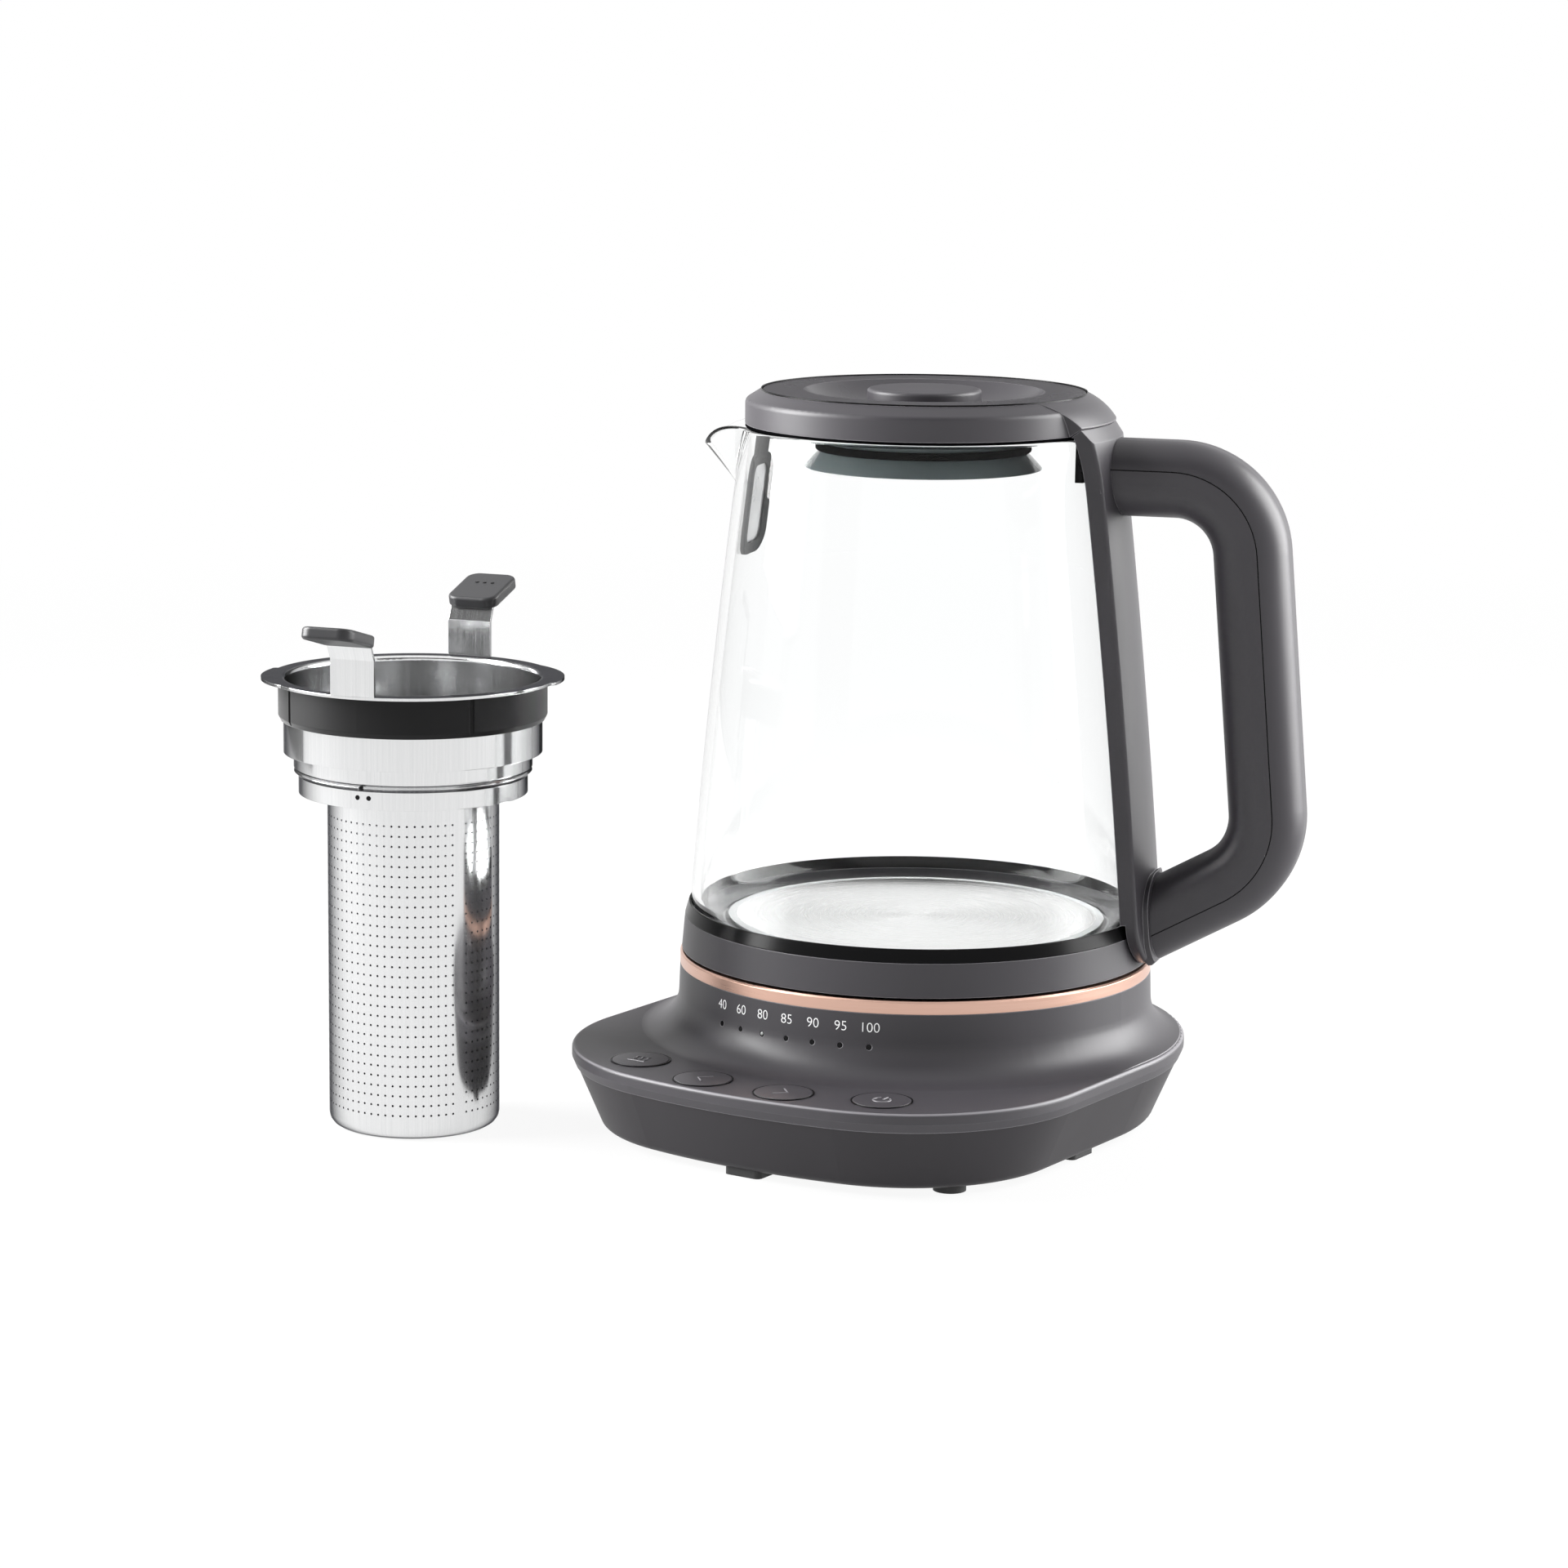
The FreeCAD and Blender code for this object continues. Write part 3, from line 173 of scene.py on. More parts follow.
# %% Soft boxes
right = Vector((0.8248, 0.5356, 0))
forward = Vector((-0.5356, 0.8248, 0))
aim = Vector((0, 0, 0.13))
soft_boxes = {
    "key_right": (right * 1.0 + forward * 0.18 + up * 0.36, (0.9, 1.0), 31.0),
    "top": (forward * 0.1 + up * 1.15, (1.0, 0.6), 0.5),
    "side_left": (right * -0.92 + forward * 0.04 + up * 0.42, (0.6, 0.8), 33.0),
}
for name, (place, size, power) in soft_boxes.items():
    lamp = bpy.data.lights.new(name, "AREA")
    lamp.shape = "RECTANGLE"
    lamp.size, lamp.size_y = size
    lamp.energy = power
    box = bpy.data.objects.new(name, lamp)
    turn = (-place).to_track_quat("-Z", "Y").to_matrix().to_4x4()
    box.matrix_world = Matrix.Translation(aim + place) @ turn
    box.visible_camera = False
    bpy.context.scene.collection.objects.link(box)
    print(name, "at", [round(v, 2) for v in aim + place], power, "W")

# %% [markdown]
# ## Black cards
# Polished steel and glass on white would lose their edges, because at a grazing angle they mirror the white
# behind them. A photographer stands dark cards behind, beside and over them, out of the picture, and the
# edges turn dark. These cards show only in reflections: they throw no shadow and the camera looks through
# them.

# %% Black cards
card_roughness = 0.9
cards = {
    "card_back": (forward * 0.6 + up * 0.3, right, up, 0.24, 0.6, 0.05),
    "card_left": (forward * 0.22 - right * 0.38 + up * 0.16, forward, up, 0.42, 0.13, 0.08),
    "card_front": (forward * -0.6 - right * 0.35 + up * 0.82, right, (forward + up).normalized(),
                   1.3, 0.5, 0.04),
}
for name, (place, along, rising, width, height, grey) in cards.items():
    card_paint = bpy.data.materials.new(name + "_paint")
    card_paint.use_nodes = True
    card_shader = card_paint.node_tree.nodes["Principled BSDF"]
    card_shader.inputs["Base Color"].default_value = (grey, grey, grey, 1)
    card_shader.inputs["Roughness"].default_value = card_roughness
    bm = bmesh.new()
    bmesh.ops.create_grid(bm, x_segments=1, y_segments=1, size=0.5)
    stand = Matrix((along * width, rising * height, along.cross(rising))).transposed().to_4x4()
    bmesh.ops.transform(bm, matrix=Matrix.Translation(place) @ stand, verts=bm.verts[:])
    card = place_mesh(name, bm, card_paint)
    card.visible_camera = False
    card.visible_diffuse = False
    card.visible_transmission = False
    card.visible_shadow = False
    print(name, "is", width, "by", height, "m")

# %% [markdown]
# ## Surface patterns shared by the finishes
# Two effects come back on many pieces. Moulded plastic and rubber carry the fine spark grain of their mould.
# Turned, brushed and drawn metal carries lines that follow the lathe or the press: rings, or streaks up the
# wall. Each is a node group with its own inputs, so a finish only says how coarse and how strong it is.


# %% Node group: moulded grain
def group_tree(name, inputs, outputs):
    """An empty shader node group with named float or vector sockets."""
    tree = bpy.data.node_groups.new(name, "ShaderNodeTree")
    for socket, kind in inputs.items():
        tree.interface.new_socket(socket, in_out="INPUT", socket_type="NodeSocket" + kind)
    for socket in outputs:
        tree.interface.new_socket(socket, in_out="OUTPUT", socket_type="NodeSocketFloat")
    start = tree.nodes.new("NodeGroupInput")
    end = tree.nodes.new("NodeGroupOutput")
    return tree, start.outputs, end.inputs


grain, given, result = group_tree("moulded_grain", {"Vector": "Vector", "Cloud": "Float", "Spark": "Float"},
                                  ("Tone", "Height"))
cloud = add(grain, "TexNoise", {"Detail": 3.0, "Roughness": 0.6})
spark = add(grain, "TexNoise", {"Detail": 2.0, "Roughness": 0.55})
join(grain, (given["Vector"], cloud.inputs["Vector"]), (given["Cloud"], cloud.inputs["Scale"]),
     (given["Vector"], spark.inputs["Vector"]), (given["Spark"], spark.inputs["Scale"]),
     (cloud.outputs[0], result["Tone"]), (spark.outputs[0], result["Height"]))
print("group", grain.name)

# %% Node group: lathe lines
lines, given, result = group_tree("lathe_lines", {"Vector": "Vector", "Rings": "Float", "Spokes": "Float",
                                                  "Levels": "Float"}, ("Tone", "Height"))
flat = add(lines, "VectorMath", {1: (1, 1, 0)}, operation="MULTIPLY")
radius = add(lines, "VectorMath", operation="LENGTH")
heading = add(lines, "VectorMath", operation="NORMALIZE")
spokes = add(lines, "VectorMath", operation="SCALE")
rings = add(lines, "Math", operation="MULTIPLY")
place = add(lines, "SeparateXYZ")
levels = add(lines, "Math", operation="MULTIPLY")
lift = add(lines, "Math", operation="ADD")
riser = add(lines, "CombineXYZ")
spread = add(lines, "VectorMath", operation="ADD")
streak = add(lines, "TexNoise", {"Scale": 1.0, "Detail": 4.0, "Roughness": 0.65})
join(lines, (given["Vector"], flat.inputs[0]), (flat.outputs[0], radius.inputs[0]),
     (flat.outputs[0], heading.inputs[0]), (heading.outputs[0], spokes.inputs[0]),
     (given["Spokes"], spokes.inputs["Scale"]), (radius.outputs["Value"], rings.inputs[0]),
     (given["Rings"], rings.inputs[1]), (given["Vector"], place.inputs[0]),
     (place.outputs["Z"], levels.inputs[0]), (given["Levels"], levels.inputs[1]),
     (rings.outputs[0], lift.inputs[0]), (levels.outputs[0], lift.inputs[1]),
     (lift.outputs[0], riser.inputs["Z"]), (spokes.outputs[0], spread.inputs[0]),
     (riser.outputs[0], spread.inputs[1]), (spread.outputs[0], streak.inputs["Vector"]),
     (streak.outputs[0], result["Tone"]), (streak.outputs[0], result["Height"]))
print("group", lines.name)

# %% [markdown]
# ## Finishes
# A finish is one Principled material. Its colour and roughness run between two values as the pattern says,
# and the pattern's height gives a fine bump. The Bevel node rounds the shading of sharp edges by a fraction
# of a millimetre, as moulding and pressing do on the real pieces, so that edges catch the light. Where the
# rounded normal departs from the flat one, a finish can take a paler rim colour: a painted highlight along
# its edges.

# %% Helper for finishes
noise_low, noise_high = 0.3, 0.7
rim_starts, rim_full = 0.99, 0.86


def linear(red, green, blue):
    """A colour written as on a screen, 0 to 255, as the linear colour that shaders use."""
    shares = [v / 255 for v in (red, green, blue)]
    return [v / 12.92 if v <= 0.04045 else ((v + 0.055) / 1.055) ** 2.4 for v in shares] + [1.0]


def finish(name, dark, light, roughness, pattern, values, bump=0.0, edge=0.0, centre=(0, 0, 0), sockets=None,
           rim=None):
    """A Principled material whose colour, roughness and bump follow a pattern group, with painted edge
    highlight.
    """
    material = bpy.data.materials.new(name)
    material.use_nodes = True
    tree = material.node_tree
    shader = tree.nodes["Principled BSDF"]
    where = add(tree, "TexCoord")
    moved = add(tree, "Mapping", {"Location": [-v for v in centre]})
    detail = add(tree, "Group", node_tree=pattern)
    for socket, value in values.items():
        detail.inputs[socket].default_value = value
    tone = add(tree, "Mix", data_type="RGBA")
    tone.inputs[6].default_value = linear(*dark)
    tone.inputs[7].default_value = linear(*light)
    rough = add(tree, "MapRange", {"From Min": noise_low, "From Max": noise_high, "To Min": roughness[0],
                                   "To Max": roughness[1]})
    join(tree, (where.outputs["Object"], moved.inputs["Vector"]), (moved.outputs[0], detail.inputs["Vector"]),
         (detail.outputs["Tone"], tone.inputs[0]), (tone.outputs[2], shader.inputs["Base Color"]),
         (detail.outputs["Tone"], rough.inputs["Value"]), (rough.outputs[0], shader.inputs["Roughness"]))
    relief = add(tree, "Bump", {"Strength": 1.0, "Distance": bump})
    join(tree, (detail.outputs["Height"], relief.inputs["Height"]),
         (relief.outputs[0], shader.inputs["Normal"]))
    if edge:
        soft = add(tree, "Bevel", {"Radius": edge}, samples=6)
        join(tree, (soft.outputs[0], relief.inputs["Normal"]))
    # Painted highlight: where the bevelled normal departs from the flat one, the colour turns to the paler
    # rim.
    if rim:
        facing = add(tree, "NewGeometry")
        agree = add(tree, "VectorMath", operation="DOT_PRODUCT")
        rim_highlight_share = add(tree, "MapRange", {"From Min": rim_starts, "From Max": rim_full, "To Min": 0.0,
                                      "To Max": 1.0})
        edged = add(tree, "Mix", data_type="RGBA")
        edged.inputs[7].default_value = linear(*rim)
        join(tree, (soft.outputs[0], agree.inputs[0]), (facing.outputs["Normal"], agree.inputs[1]),
             (agree.outputs["Value"], rim_highlight_share.inputs["Value"]), (rim_highlight_share.outputs[0], edged.inputs[0]),
             (tone.outputs[2], edged.inputs[6]), (edged.outputs[2], shader.inputs["Base Color"]))
    for socket, value in (sockets or {}).items():
        shader.inputs[socket].default_value = value
    return material


print("finish helper ready")

# %% [markdown]
# ## Plastics and rubbers
# The housing, handle and lid are one warm dark grey, moulded with a satin grain, and their sharp edges take
# a paler grey, a painted highlight. The shell under the base is a tone darker, with a painted highlight on
# its edges as well, and the plug of the lid is a smoked grey. The band round the glass foot is polished
# black.
# The rubbers are nearly black and dull. The base's top shell has the same warm grey, with a painted
# highlight, a paler line, along its upper edge.

# %% Plastics and rubbers
infuser_centre = Vector((-133.3, -112.0, 0)) * mm
grain_values = {"Cloud": 14.0, "Spark": 2600.0}
satin_edge = 0.5 * mm
# The paler rim grey of the satin plastics is a painted highlight along their edges.
warm_greys, rim_highlight = ((52, 50, 54), (58, 56, 60)), (138, 136, 140)
satin_grey = finish("satin_grey_plastic", *warm_greys, (0.39, 0.46), grain, grain_values,
                    0.006 * mm, satin_edge, sockets={"Specular IOR Level": 0.42}, rim=rim_highlight)
lid_grey = finish("lid_grey_plastic", *warm_greys, (0.25, 0.31), grain, grain_values,
                  0.004 * mm, satin_edge, sockets={"Specular IOR Level": 0.45}, rim=rim_highlight)
shadow_grey = finish("shadow_grey_plastic", (39, 37, 40), (45, 43, 46), (0.4, 0.5), grain, grain_values,
                     0.006 * mm, satin_edge, sockets={"Specular IOR Level": 0.25}, rim=(96, 94, 98))
polished_black = finish("polished_black_plastic", (7, 7, 8), (11, 11, 12), (0.2, 0.28), grain, grain_values,
                        0.0, satin_edge, sockets={"Specular IOR Level": 0.08})
smoked_grey = finish("smoked_grey_plastic", (94, 103, 104), (104, 113, 114), (0.12, 0.2), grain, grain_values,
                     0.0, satin_edge, sockets={"Specular IOR Level": 0.35})
dull_grey = finish("dull_grey_plastic", (18, 21, 22), (25, 28, 29), (0.5, 0.6), grain, grain_values,
                   0.006 * mm, satin_edge, sockets={"Specular IOR Level": 0.1})
dull_black = finish("dull_black_silicone", (5, 5, 6), (8, 8, 9), (0.6, 0.7), grain, grain_values,
                    0.004 * mm, satin_edge, sockets={"Specular IOR Level": 0.0})
matt_black = finish("matt_black_plastic", (34, 34, 36), (42, 42, 44), (0.36, 0.48), grain, grain_values,
                    0.006 * mm, satin_edge, sockets={"Specular IOR Level": 0.4})
soft_rubber = finish("soft_black_rubber", (24, 24, 25), (33, 33, 34), (0.5, 0.66), grain,
                     {"Cloud": 22.0, "Spark": 1900.0}, 0.01 * mm, satin_edge)
satin_silicone = finish("satin_black_silicone", (8, 8, 9), (12, 12, 13), (0.42, 0.52), grain, grain_values,
                        0.004 * mm, satin_edge,
                        sockets={"Specular IOR Level": 0.2, "Sheen Weight": 0.2, "Sheen Roughness": 0.4})
clear_silicone = finish("clear_silicone", (226, 230, 230), (240, 243, 243), (0.2, 0.32), grain, grain_values,
                        0.004 * mm, sockets={"Transmission Weight": 0.85, "IOR": 1.41})
milky_silicone = finish("milky_silicone", (214, 217, 217), (230, 232, 232), (0.16, 0.28), grain, grain_values,
                        0.004 * mm)

# Painted highlight: on the base's top shell, where the surface faces partly up and lies just below plate_z,
# its colour turns to a paler grey, the light caught by the rounding of its upper edge.
plate_z, edge_highlight = 30.8, (120, 118, 122)
highlight_starts, highlight_full = 0.1, 0.25
tilt_starts, tilt_full = 0.35, 0.6
base_grey = satin_grey.copy()
base_grey.name = "base_grey_plastic"
tree = base_grey.node_tree
shader = tree.nodes["Principled BSDF"]
body_tone = shader.inputs["Base Color"].links[0].from_socket
facing = add(tree, "NewGeometry")
tilt = add(tree, "SeparateXYZ")
where = add(tree, "TexCoord")
level = add(tree, "SeparateXYZ")
turning = add(tree, "MapRange", {"From Min": tilt_starts, "From Max": tilt_full, "To Min": 0.0,
                                 "To Max": 1.0})
below = add(tree, "MapRange", {"From Min": (plate_z - highlight_starts) * mm,
                               "From Max": (plate_z - highlight_full) * mm, "To Min": 0.0, "To Max": 1.0})
line = add(tree, "Math", operation="MULTIPLY")
edge_highlighted = add(tree, "Mix", data_type="RGBA")
edge_highlighted.inputs[7].default_value = linear(*edge_highlight)
join(tree, (facing.outputs["Normal"], tilt.inputs[0]), (tilt.outputs["Z"], turning.inputs["Value"]),
     (where.outputs["Object"], level.inputs[0]), (level.outputs["Z"], below.inputs["Value"]),
     (turning.outputs[0], line.inputs[0]), (below.outputs[0], line.inputs[1]),
     (line.outputs[0], edge_highlighted.inputs[0]), (body_tone, edge_highlighted.inputs[6]),
     (edge_highlighted.outputs[2], shader.inputs["Base Color"]))
print("plastics and rubbers ready")

# %% [markdown]
# ## Metals, boards and the glass
# The trim ring is brushed round its edge, the heating plate is spun so that its highlight becomes a bow tie,
# and the infuser is deep drawn and polished, with faint lines up its wall. Its steel is painted greyer where
# it curves away, a painted dark reflection at its edges, and inside the basket, in its holes and round its
# bottom the steel is a darker grey, painted shade. The glass is clear with the slight unevenness of a blown
# wall. Its mirror image is tinted down, so that dark pieces behind it stay dark.

# %% Metals, boards and the glass
steel_sockets = {"Metallic": 1.0}
dark_edged = {"Metallic": 0.97, "Specular Tint": (0.1, 0.1, 0.11, 1.0)}
drawn_lines = {"Rings": 40.0, "Spokes": 90.0, "Levels": 12.0}
drawn_bump, drawn_edge = 0.0008 * mm, 0.3 * mm
bright_steels, polish = ((212, 213, 214), (234, 234, 234)), (0.08, 0.17)
rose_gold = finish("brushed_rose_gold", (202, 160, 142), (218, 184, 168), (0.26, 0.38), lines,
                   {"Rings": 2500.0, "Spokes": 2.0, "Levels": 5200.0}, 0.002 * mm, 0.25 * mm,
                   sockets=steel_sockets)
spun_steel = finish("spun_steel", (226, 226, 226), (246, 246, 245), (0.2, 0.34), lines,
                    {"Rings": 3200.0, "Spokes": 1.5, "Levels": 0.0}, 0.001 * mm, 0.3 * mm,
                    sockets={"Metallic": 1.0, "Anisotropic": 0.75})
drawn_steel = finish("drawn_steel", *bright_steels, polish, lines, drawn_lines, drawn_bump, drawn_edge,
                     infuser_centre, sockets=dark_edged)
pierced_steel = finish("pierced_steel", *bright_steels, polish, lines, drawn_lines, drawn_bump, 0.0,
                       infuser_centre, sockets=dark_edged)
# A darker grey steel: painted shade for the inside, the holes and the bottom of the basket.
painted_shade_steel = finish("painted_shade_steel", (92, 93, 95), (112, 113, 115), (0.3, 0.45), lines, drawn_lines,
                      drawn_bump, 0.0, infuser_centre, sockets=steel_sockets)
plain_steel = finish("plain_steel", (186, 187, 188), (214, 214, 214), (0.24, 0.4), grain,
                     {"Cloud": 60.0, "Spark": 900.0}, 0.002 * mm, 0.2 * mm, sockets=steel_sockets)
cast_aluminium = finish("cast_aluminium", (178, 179, 181), (204, 205, 206), (0.36, 0.52), grain,
                        {"Cloud": 90.0, "Spark": 700.0}, 0.01 * mm, 0.3 * mm, sockets=steel_sockets)
contact_metal = finish("contact_metal", (206, 176, 118), (226, 198, 142), (0.2, 0.34), lines,
                       {"Rings": 900.0, "Spokes": 2.0, "Levels": 2600.0}, 0.001 * mm, 0.15 * mm,
                       sockets=steel_sockets)
board_lacquer = finish("board_lacquer", (20, 62, 40), (30, 84, 54), (0.3, 0.42), grain,
                       {"Cloud": 120.0, "Spark": 1400.0}, 0.006 * mm, 0.1 * mm)
smoked_window = finish("smoked_window", (5, 5, 6), (9, 9, 10), (0.15, 0.25), grain, grain_values,
                       sockets={"Specular IOR Level": 0.15})
clear_glass = finish("clear_glass", (254, 255, 255), (255, 255, 255), (0.0, 0.004), grain,
                     {"Cloud": 9.0, "Spark": 11.0}, 0.02 * mm,
                     sockets={"Transmission Weight": 1.0, "IOR": 1.34, "Specular Tint": (0.3, 0.3, 0.3, 1.0)})
edge_shade_grey, fade_starts, fade_full = 0.5, 0.4, 0.95
# Painted reflection: the polished steels turn greyer where the surface turns away from the view, standing for
# the dark reflection at their edges.
for steel in (drawn_steel, pierced_steel):
    tree = steel.node_tree
    shader = tree.nodes["Principled BSDF"]
    polished = shader.inputs["Base Color"].links[0].from_socket
    turned_away = add(tree, "LayerWeight", {"Blend": 0.5})
    fade = add(tree, "MapRange", {"From Min": fade_starts, "From Max": fade_full, "To Min": 1.0,
                                  "To Max": edge_shade_grey})
    shaded = add(tree, "VectorMath", operation="SCALE")
    join(tree, (turned_away.outputs["Facing"], fade.inputs["Value"]), (polished, shaded.inputs[0]),
         (fade.outputs[0], shaded.inputs["Scale"]), (shaded.outputs[0], shader.inputs["Base Color"]))
tree = spun_steel.node_tree
tangent = add(tree, "Tangent", direction_type="RADIAL", axis="Z")
join(tree, (tangent.outputs[0], tree.nodes["Principled BSDF"].inputs["Tangent"]))
print("metals, boards and glass ready")

# %% Finishes on the CAD nodes
by_slot = {
    "grey_plastic": satin_grey, "lower_shell": shadow_grey, "black_plastic": matt_black,
    "rose_gold": rose_gold, "glass": clear_glass, "clear_silicone": clear_silicone, "steel": plain_steel,
    "aluminium": cast_aluminium, "contacts": contact_metal, "rubber": soft_rubber,
    "light_pipe": smoked_window, "circuit_board": board_lacquer,
}
# mouth_gasket is near black, painted shade: the dark line of shadow under the mouth collar.
by_node = {
    "base_top_shell": base_grey, "glass_band": polished_black, "handle_clamp": polished_black,
    "lid_plug": smoked_grey, "lid_skirt": smoked_grey, "mouth_gasket": dull_black, "filter_frame": dull_grey,
    "plate_gasket": milky_silicone, "infuser_sleeve": satin_silicone, "heating_plate": spun_steel,
    "infuser_collar": drawn_steel, "strap_front": drawn_steel, "strap_rear": drawn_steel,
}
for name, node in nodes.items():
    slot = node.data.materials[0].name
    node.data.materials[0] = by_node.get(name, by_slot[slot])
print("finishes set on", len(nodes), "nodes")

# %% [markdown]
# ## Turned pieces and how a piece is kept
# Glass, lid, seals, basket and button caps are bodies of revolution. A helper draws their section as a chain
# of points, rounds the corners that ask for it, and spins the chain once round. Another helper turns a
# finished bmesh into a piece: smooth faces, sharp only at real edges, with its finish and the body that
# carries it.


# %% Helpers for turned pieces
def section(points, closed=False, segments=4):
    """A chain of (radius, z) or (radius, z, rounding) points in millimetres, as wire in the XZ plane."""
    bm = bmesh.new()
    chain = [bm.verts.new((point[0] * mm, 0, point[1] * mm)) for point in points]
    ends = zip(chain, chain[1:] + chain[:1]) if closed else zip(chain, chain[1:])
    for low, high in list(ends):
        bm.edges.new((low, high))
    for corner, point in zip(chain, points):
        if len(point) > 2:
            bmesh.ops.bevel(bm, geom=[corner], offset=point[2] * mm, offset_type="OFFSET", segments=segments,
                            profile=0.5, affect="VERTICES", material=-1)
    return bm


def spin_round(bm, steps, place=Vector()):
    """Spin the wire once about Z, close its seam and poles, and move it to its place."""
    bmesh.ops.spin(bm, geom=bm.verts[:] + bm.edges[:], cent=(0, 0, 0), axis=up, angle=math.tau, steps=steps,
                   use_merge=True, use_duplicate=False)
    bmesh.ops.remove_doubles(bm, verts=bm.verts[:], dist=weld)
    bmesh.ops.recalc_face_normals(bm, faces=bm.faces[:])
    bmesh.ops.translate(bm, verts=bm.verts[:], vec=place)
    return bm


def keep(name, bm, body, slot, material, *replaced, smooth=35.0):
    """Make the bmesh a piece that rides on a body and stands for the replaced nodes."""
    piece = place_mesh(name, bm, material)
    mesh = piece.data
    mesh.polygons.foreach_set("use_smooth", [True] * len(mesh.polygons))
    mesh.set_sharp_from_angle(angle=math.radians(smooth))
    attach(piece, body)
    if replaced:
        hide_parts(*replaced)
    print(name, "has", len(mesh.polygons), "faces")
    return piece


print("helpers for turned pieces ready")

# %% [markdown]
# ## The glass and its drawn lip
# The jug is a blown, slightly bellied cone with a rounded heel, open at the bottom where the heating plate
# sits. Its spout is not a separate piece: while hot, the rim is pulled out and down by a tool. The mesh is
# made the same way. The wall is spun whole, and the vertices near the rim are then drawn out, most at the
# middle of the lip and fading to nothing down the wall and to both sides.

# %% Glass
glass_foot_z, glass_rim_z, glass_floor_z = 79.0, 240.0, 66.0
glass_foot_radius, glass_top_radius, glass_belly, glass_wall = 78.1, 61.8, 3.8, 3.0
glass_heel, glass_heel_height, glass_hole = 11.0, 13.0, 64.0
wall_steps, lip_steps, heel_steps, glass_turns = 30, 22, 7, 288
lip_start_z = 217.0
jug_turn = math.radians(18.0)


def glass_r(z):
    """Outer radius of the glass wall at height z."""
    t = (z - glass_foot_z) / (glass_rim_z - glass_foot_z)
    return glass_foot_radius + (glass_top_radius - glass_foot_radius) * t + glass_belly * t * (1 - t)


def glass_side(inset):
    """Heel and wall of the glass from its floor to its rim, at an inset from its outer face."""
    heel, rise = glass_heel - inset, glass_heel_height - inset
    foot = glass_foot_radius - inset
    turns = [math.pi / 2 * i / heel_steps for i in range(heel_steps)]
    bend = [(foot - heel + heel * math.sin(a), glass_foot_z - rise * math.cos(a)) for a in turns]
    low = [glass_foot_z + (lip_start_z - glass_foot_z) * i / wall_steps for i in range(wall_steps)]
    high = [lip_start_z + (glass_rim_z - lip_start_z) * i / lip_steps for i in range(lip_steps)]
    return bend + [(glass_r(z) - inset, z) for z in low + high]


rim_round = 1.3
rim = [(glass_top_radius, glass_rim_z, rim_round), (glass_top_radius - glass_wall, glass_rim_z, rim_round)]
outer_side = [(glass_hole, glass_floor_z)] + glass_side(0.0)
inner_side = glass_side(glass_wall)[::-1] + [(glass_hole, glass_floor_z + glass_wall)]
bm = spin_round(section(outer_side + rim + inner_side, closed=True), glass_turns)

lip_reach, lip_drop = 16.0, 8.0
lip_foot_half, lip_rim_half = 9.0, 27.0
lip_sag, crest_width, crest_fall = 3.0, 1.6, 1.5
lip_heading = Vector((-1, 0, 0))


def draw_lip(vertex):
    """Pull a vertex of the wall out and down, as the tool draws the lip."""
    t = (vertex.co.z / mm - lip_start_z) / (glass_rim_z - lip_start_z)
    if t <= 0 or vertex.co.x > 0:
        return
    half = lip_foot_half + (lip_rim_half - lip_foot_half) * t
    across = min(1.0, abs(vertex.co.y / mm) / half)
    crest = (1 - across ** crest_width) ** crest_fall
    vertex.co += (lip_heading * lip_reach * crest - up * lip_drop * crest ** lip_sag) * t * mm


for vertex in bm.verts:
    draw_lip(vertex)
bmesh.ops.rotate(bm, verts=bm.verts[:], cent=(0, 0, 0), matrix=Matrix.Rotation(jug_turn, 3, "Z"))
keep("jug_glass", bm, "jug", "glass", clear_glass, "glass_jug", smooth=60.0)

# %% [markdown]
# ## The dished lid
# The lid's top is a shallow bowl round the knob. Its section follows an arc from the knob's foot to a crisp
# edge, and the underside keeps the seat of the plug.

# %% Lid
lid_radius, lid_top_z, lid_seat_z, lid_edge_round = 55.2, 252.5, 249.0, 0.5
bowl_edge, bowl_foot, bowl_floor_z, bowl_radius, bowl_steps = 41.0, 21.0, 244.1, 28.0, 12
lid_slope_foot, lid_slope_edge, lid_under_z, lid_turns = 31.0, 40.0, 242.5, 160
bowl_turn = math.asin((bowl_edge - bowl_foot) / bowl_radius)
arc = [bowl_turn * (1 - i / bowl_steps) for i in range(bowl_steps + 1)]
bowl = [(bowl_foot + bowl_radius * math.sin(a), bowl_floor_z + bowl_radius * (1 - math.cos(a)))
        for a in arc]
lid = [(0, lid_under_z), (lid_slope_foot, lid_under_z), (lid_slope_edge, lid_seat_z),
       (lid_radius, lid_seat_z), (lid_radius, lid_top_z, lid_edge_round), *bowl, (0, bowl_floor_z)]
keep("dished_lid", spin_round(section(lid), lid_turns), "lid", "grey_plastic", lid_grey, "lid_cover")

# %% [markdown]
# ## Seams
# Three dark lines tell how the kettle is put together. One runs along both sides of the handle, where its two
# shells meet: a black strip, painted shade standing for the shadow in that seam. It starts as a short edge
# across the seam, which is extruded along the straight runs and spun round the bends, then mirrored and
# thickened. The second is a thin black ring in the gap round the lid, painted shade standing for the shadow
# in that gap. The third is the black sealing ring in the waist of the lid's plug.

# %% Handle seam
grip_half_width, grip_half_height, grip_corner, grip_seam = 14.0, 12.9, 11.5, 3.6
seam_half, seam_depth, seam_proud, bend_steps = 0.2, 0.3, 0.03, 16
arm_start, bend_top, bend_top_round = Vector((66.0, 225.8)), Vector((112.3, 225.8)), 26.0
bend_low, bend_low_round, arm_end = Vector((123.6, 96.1)), 28.0, Vector((82.0, 73.04))


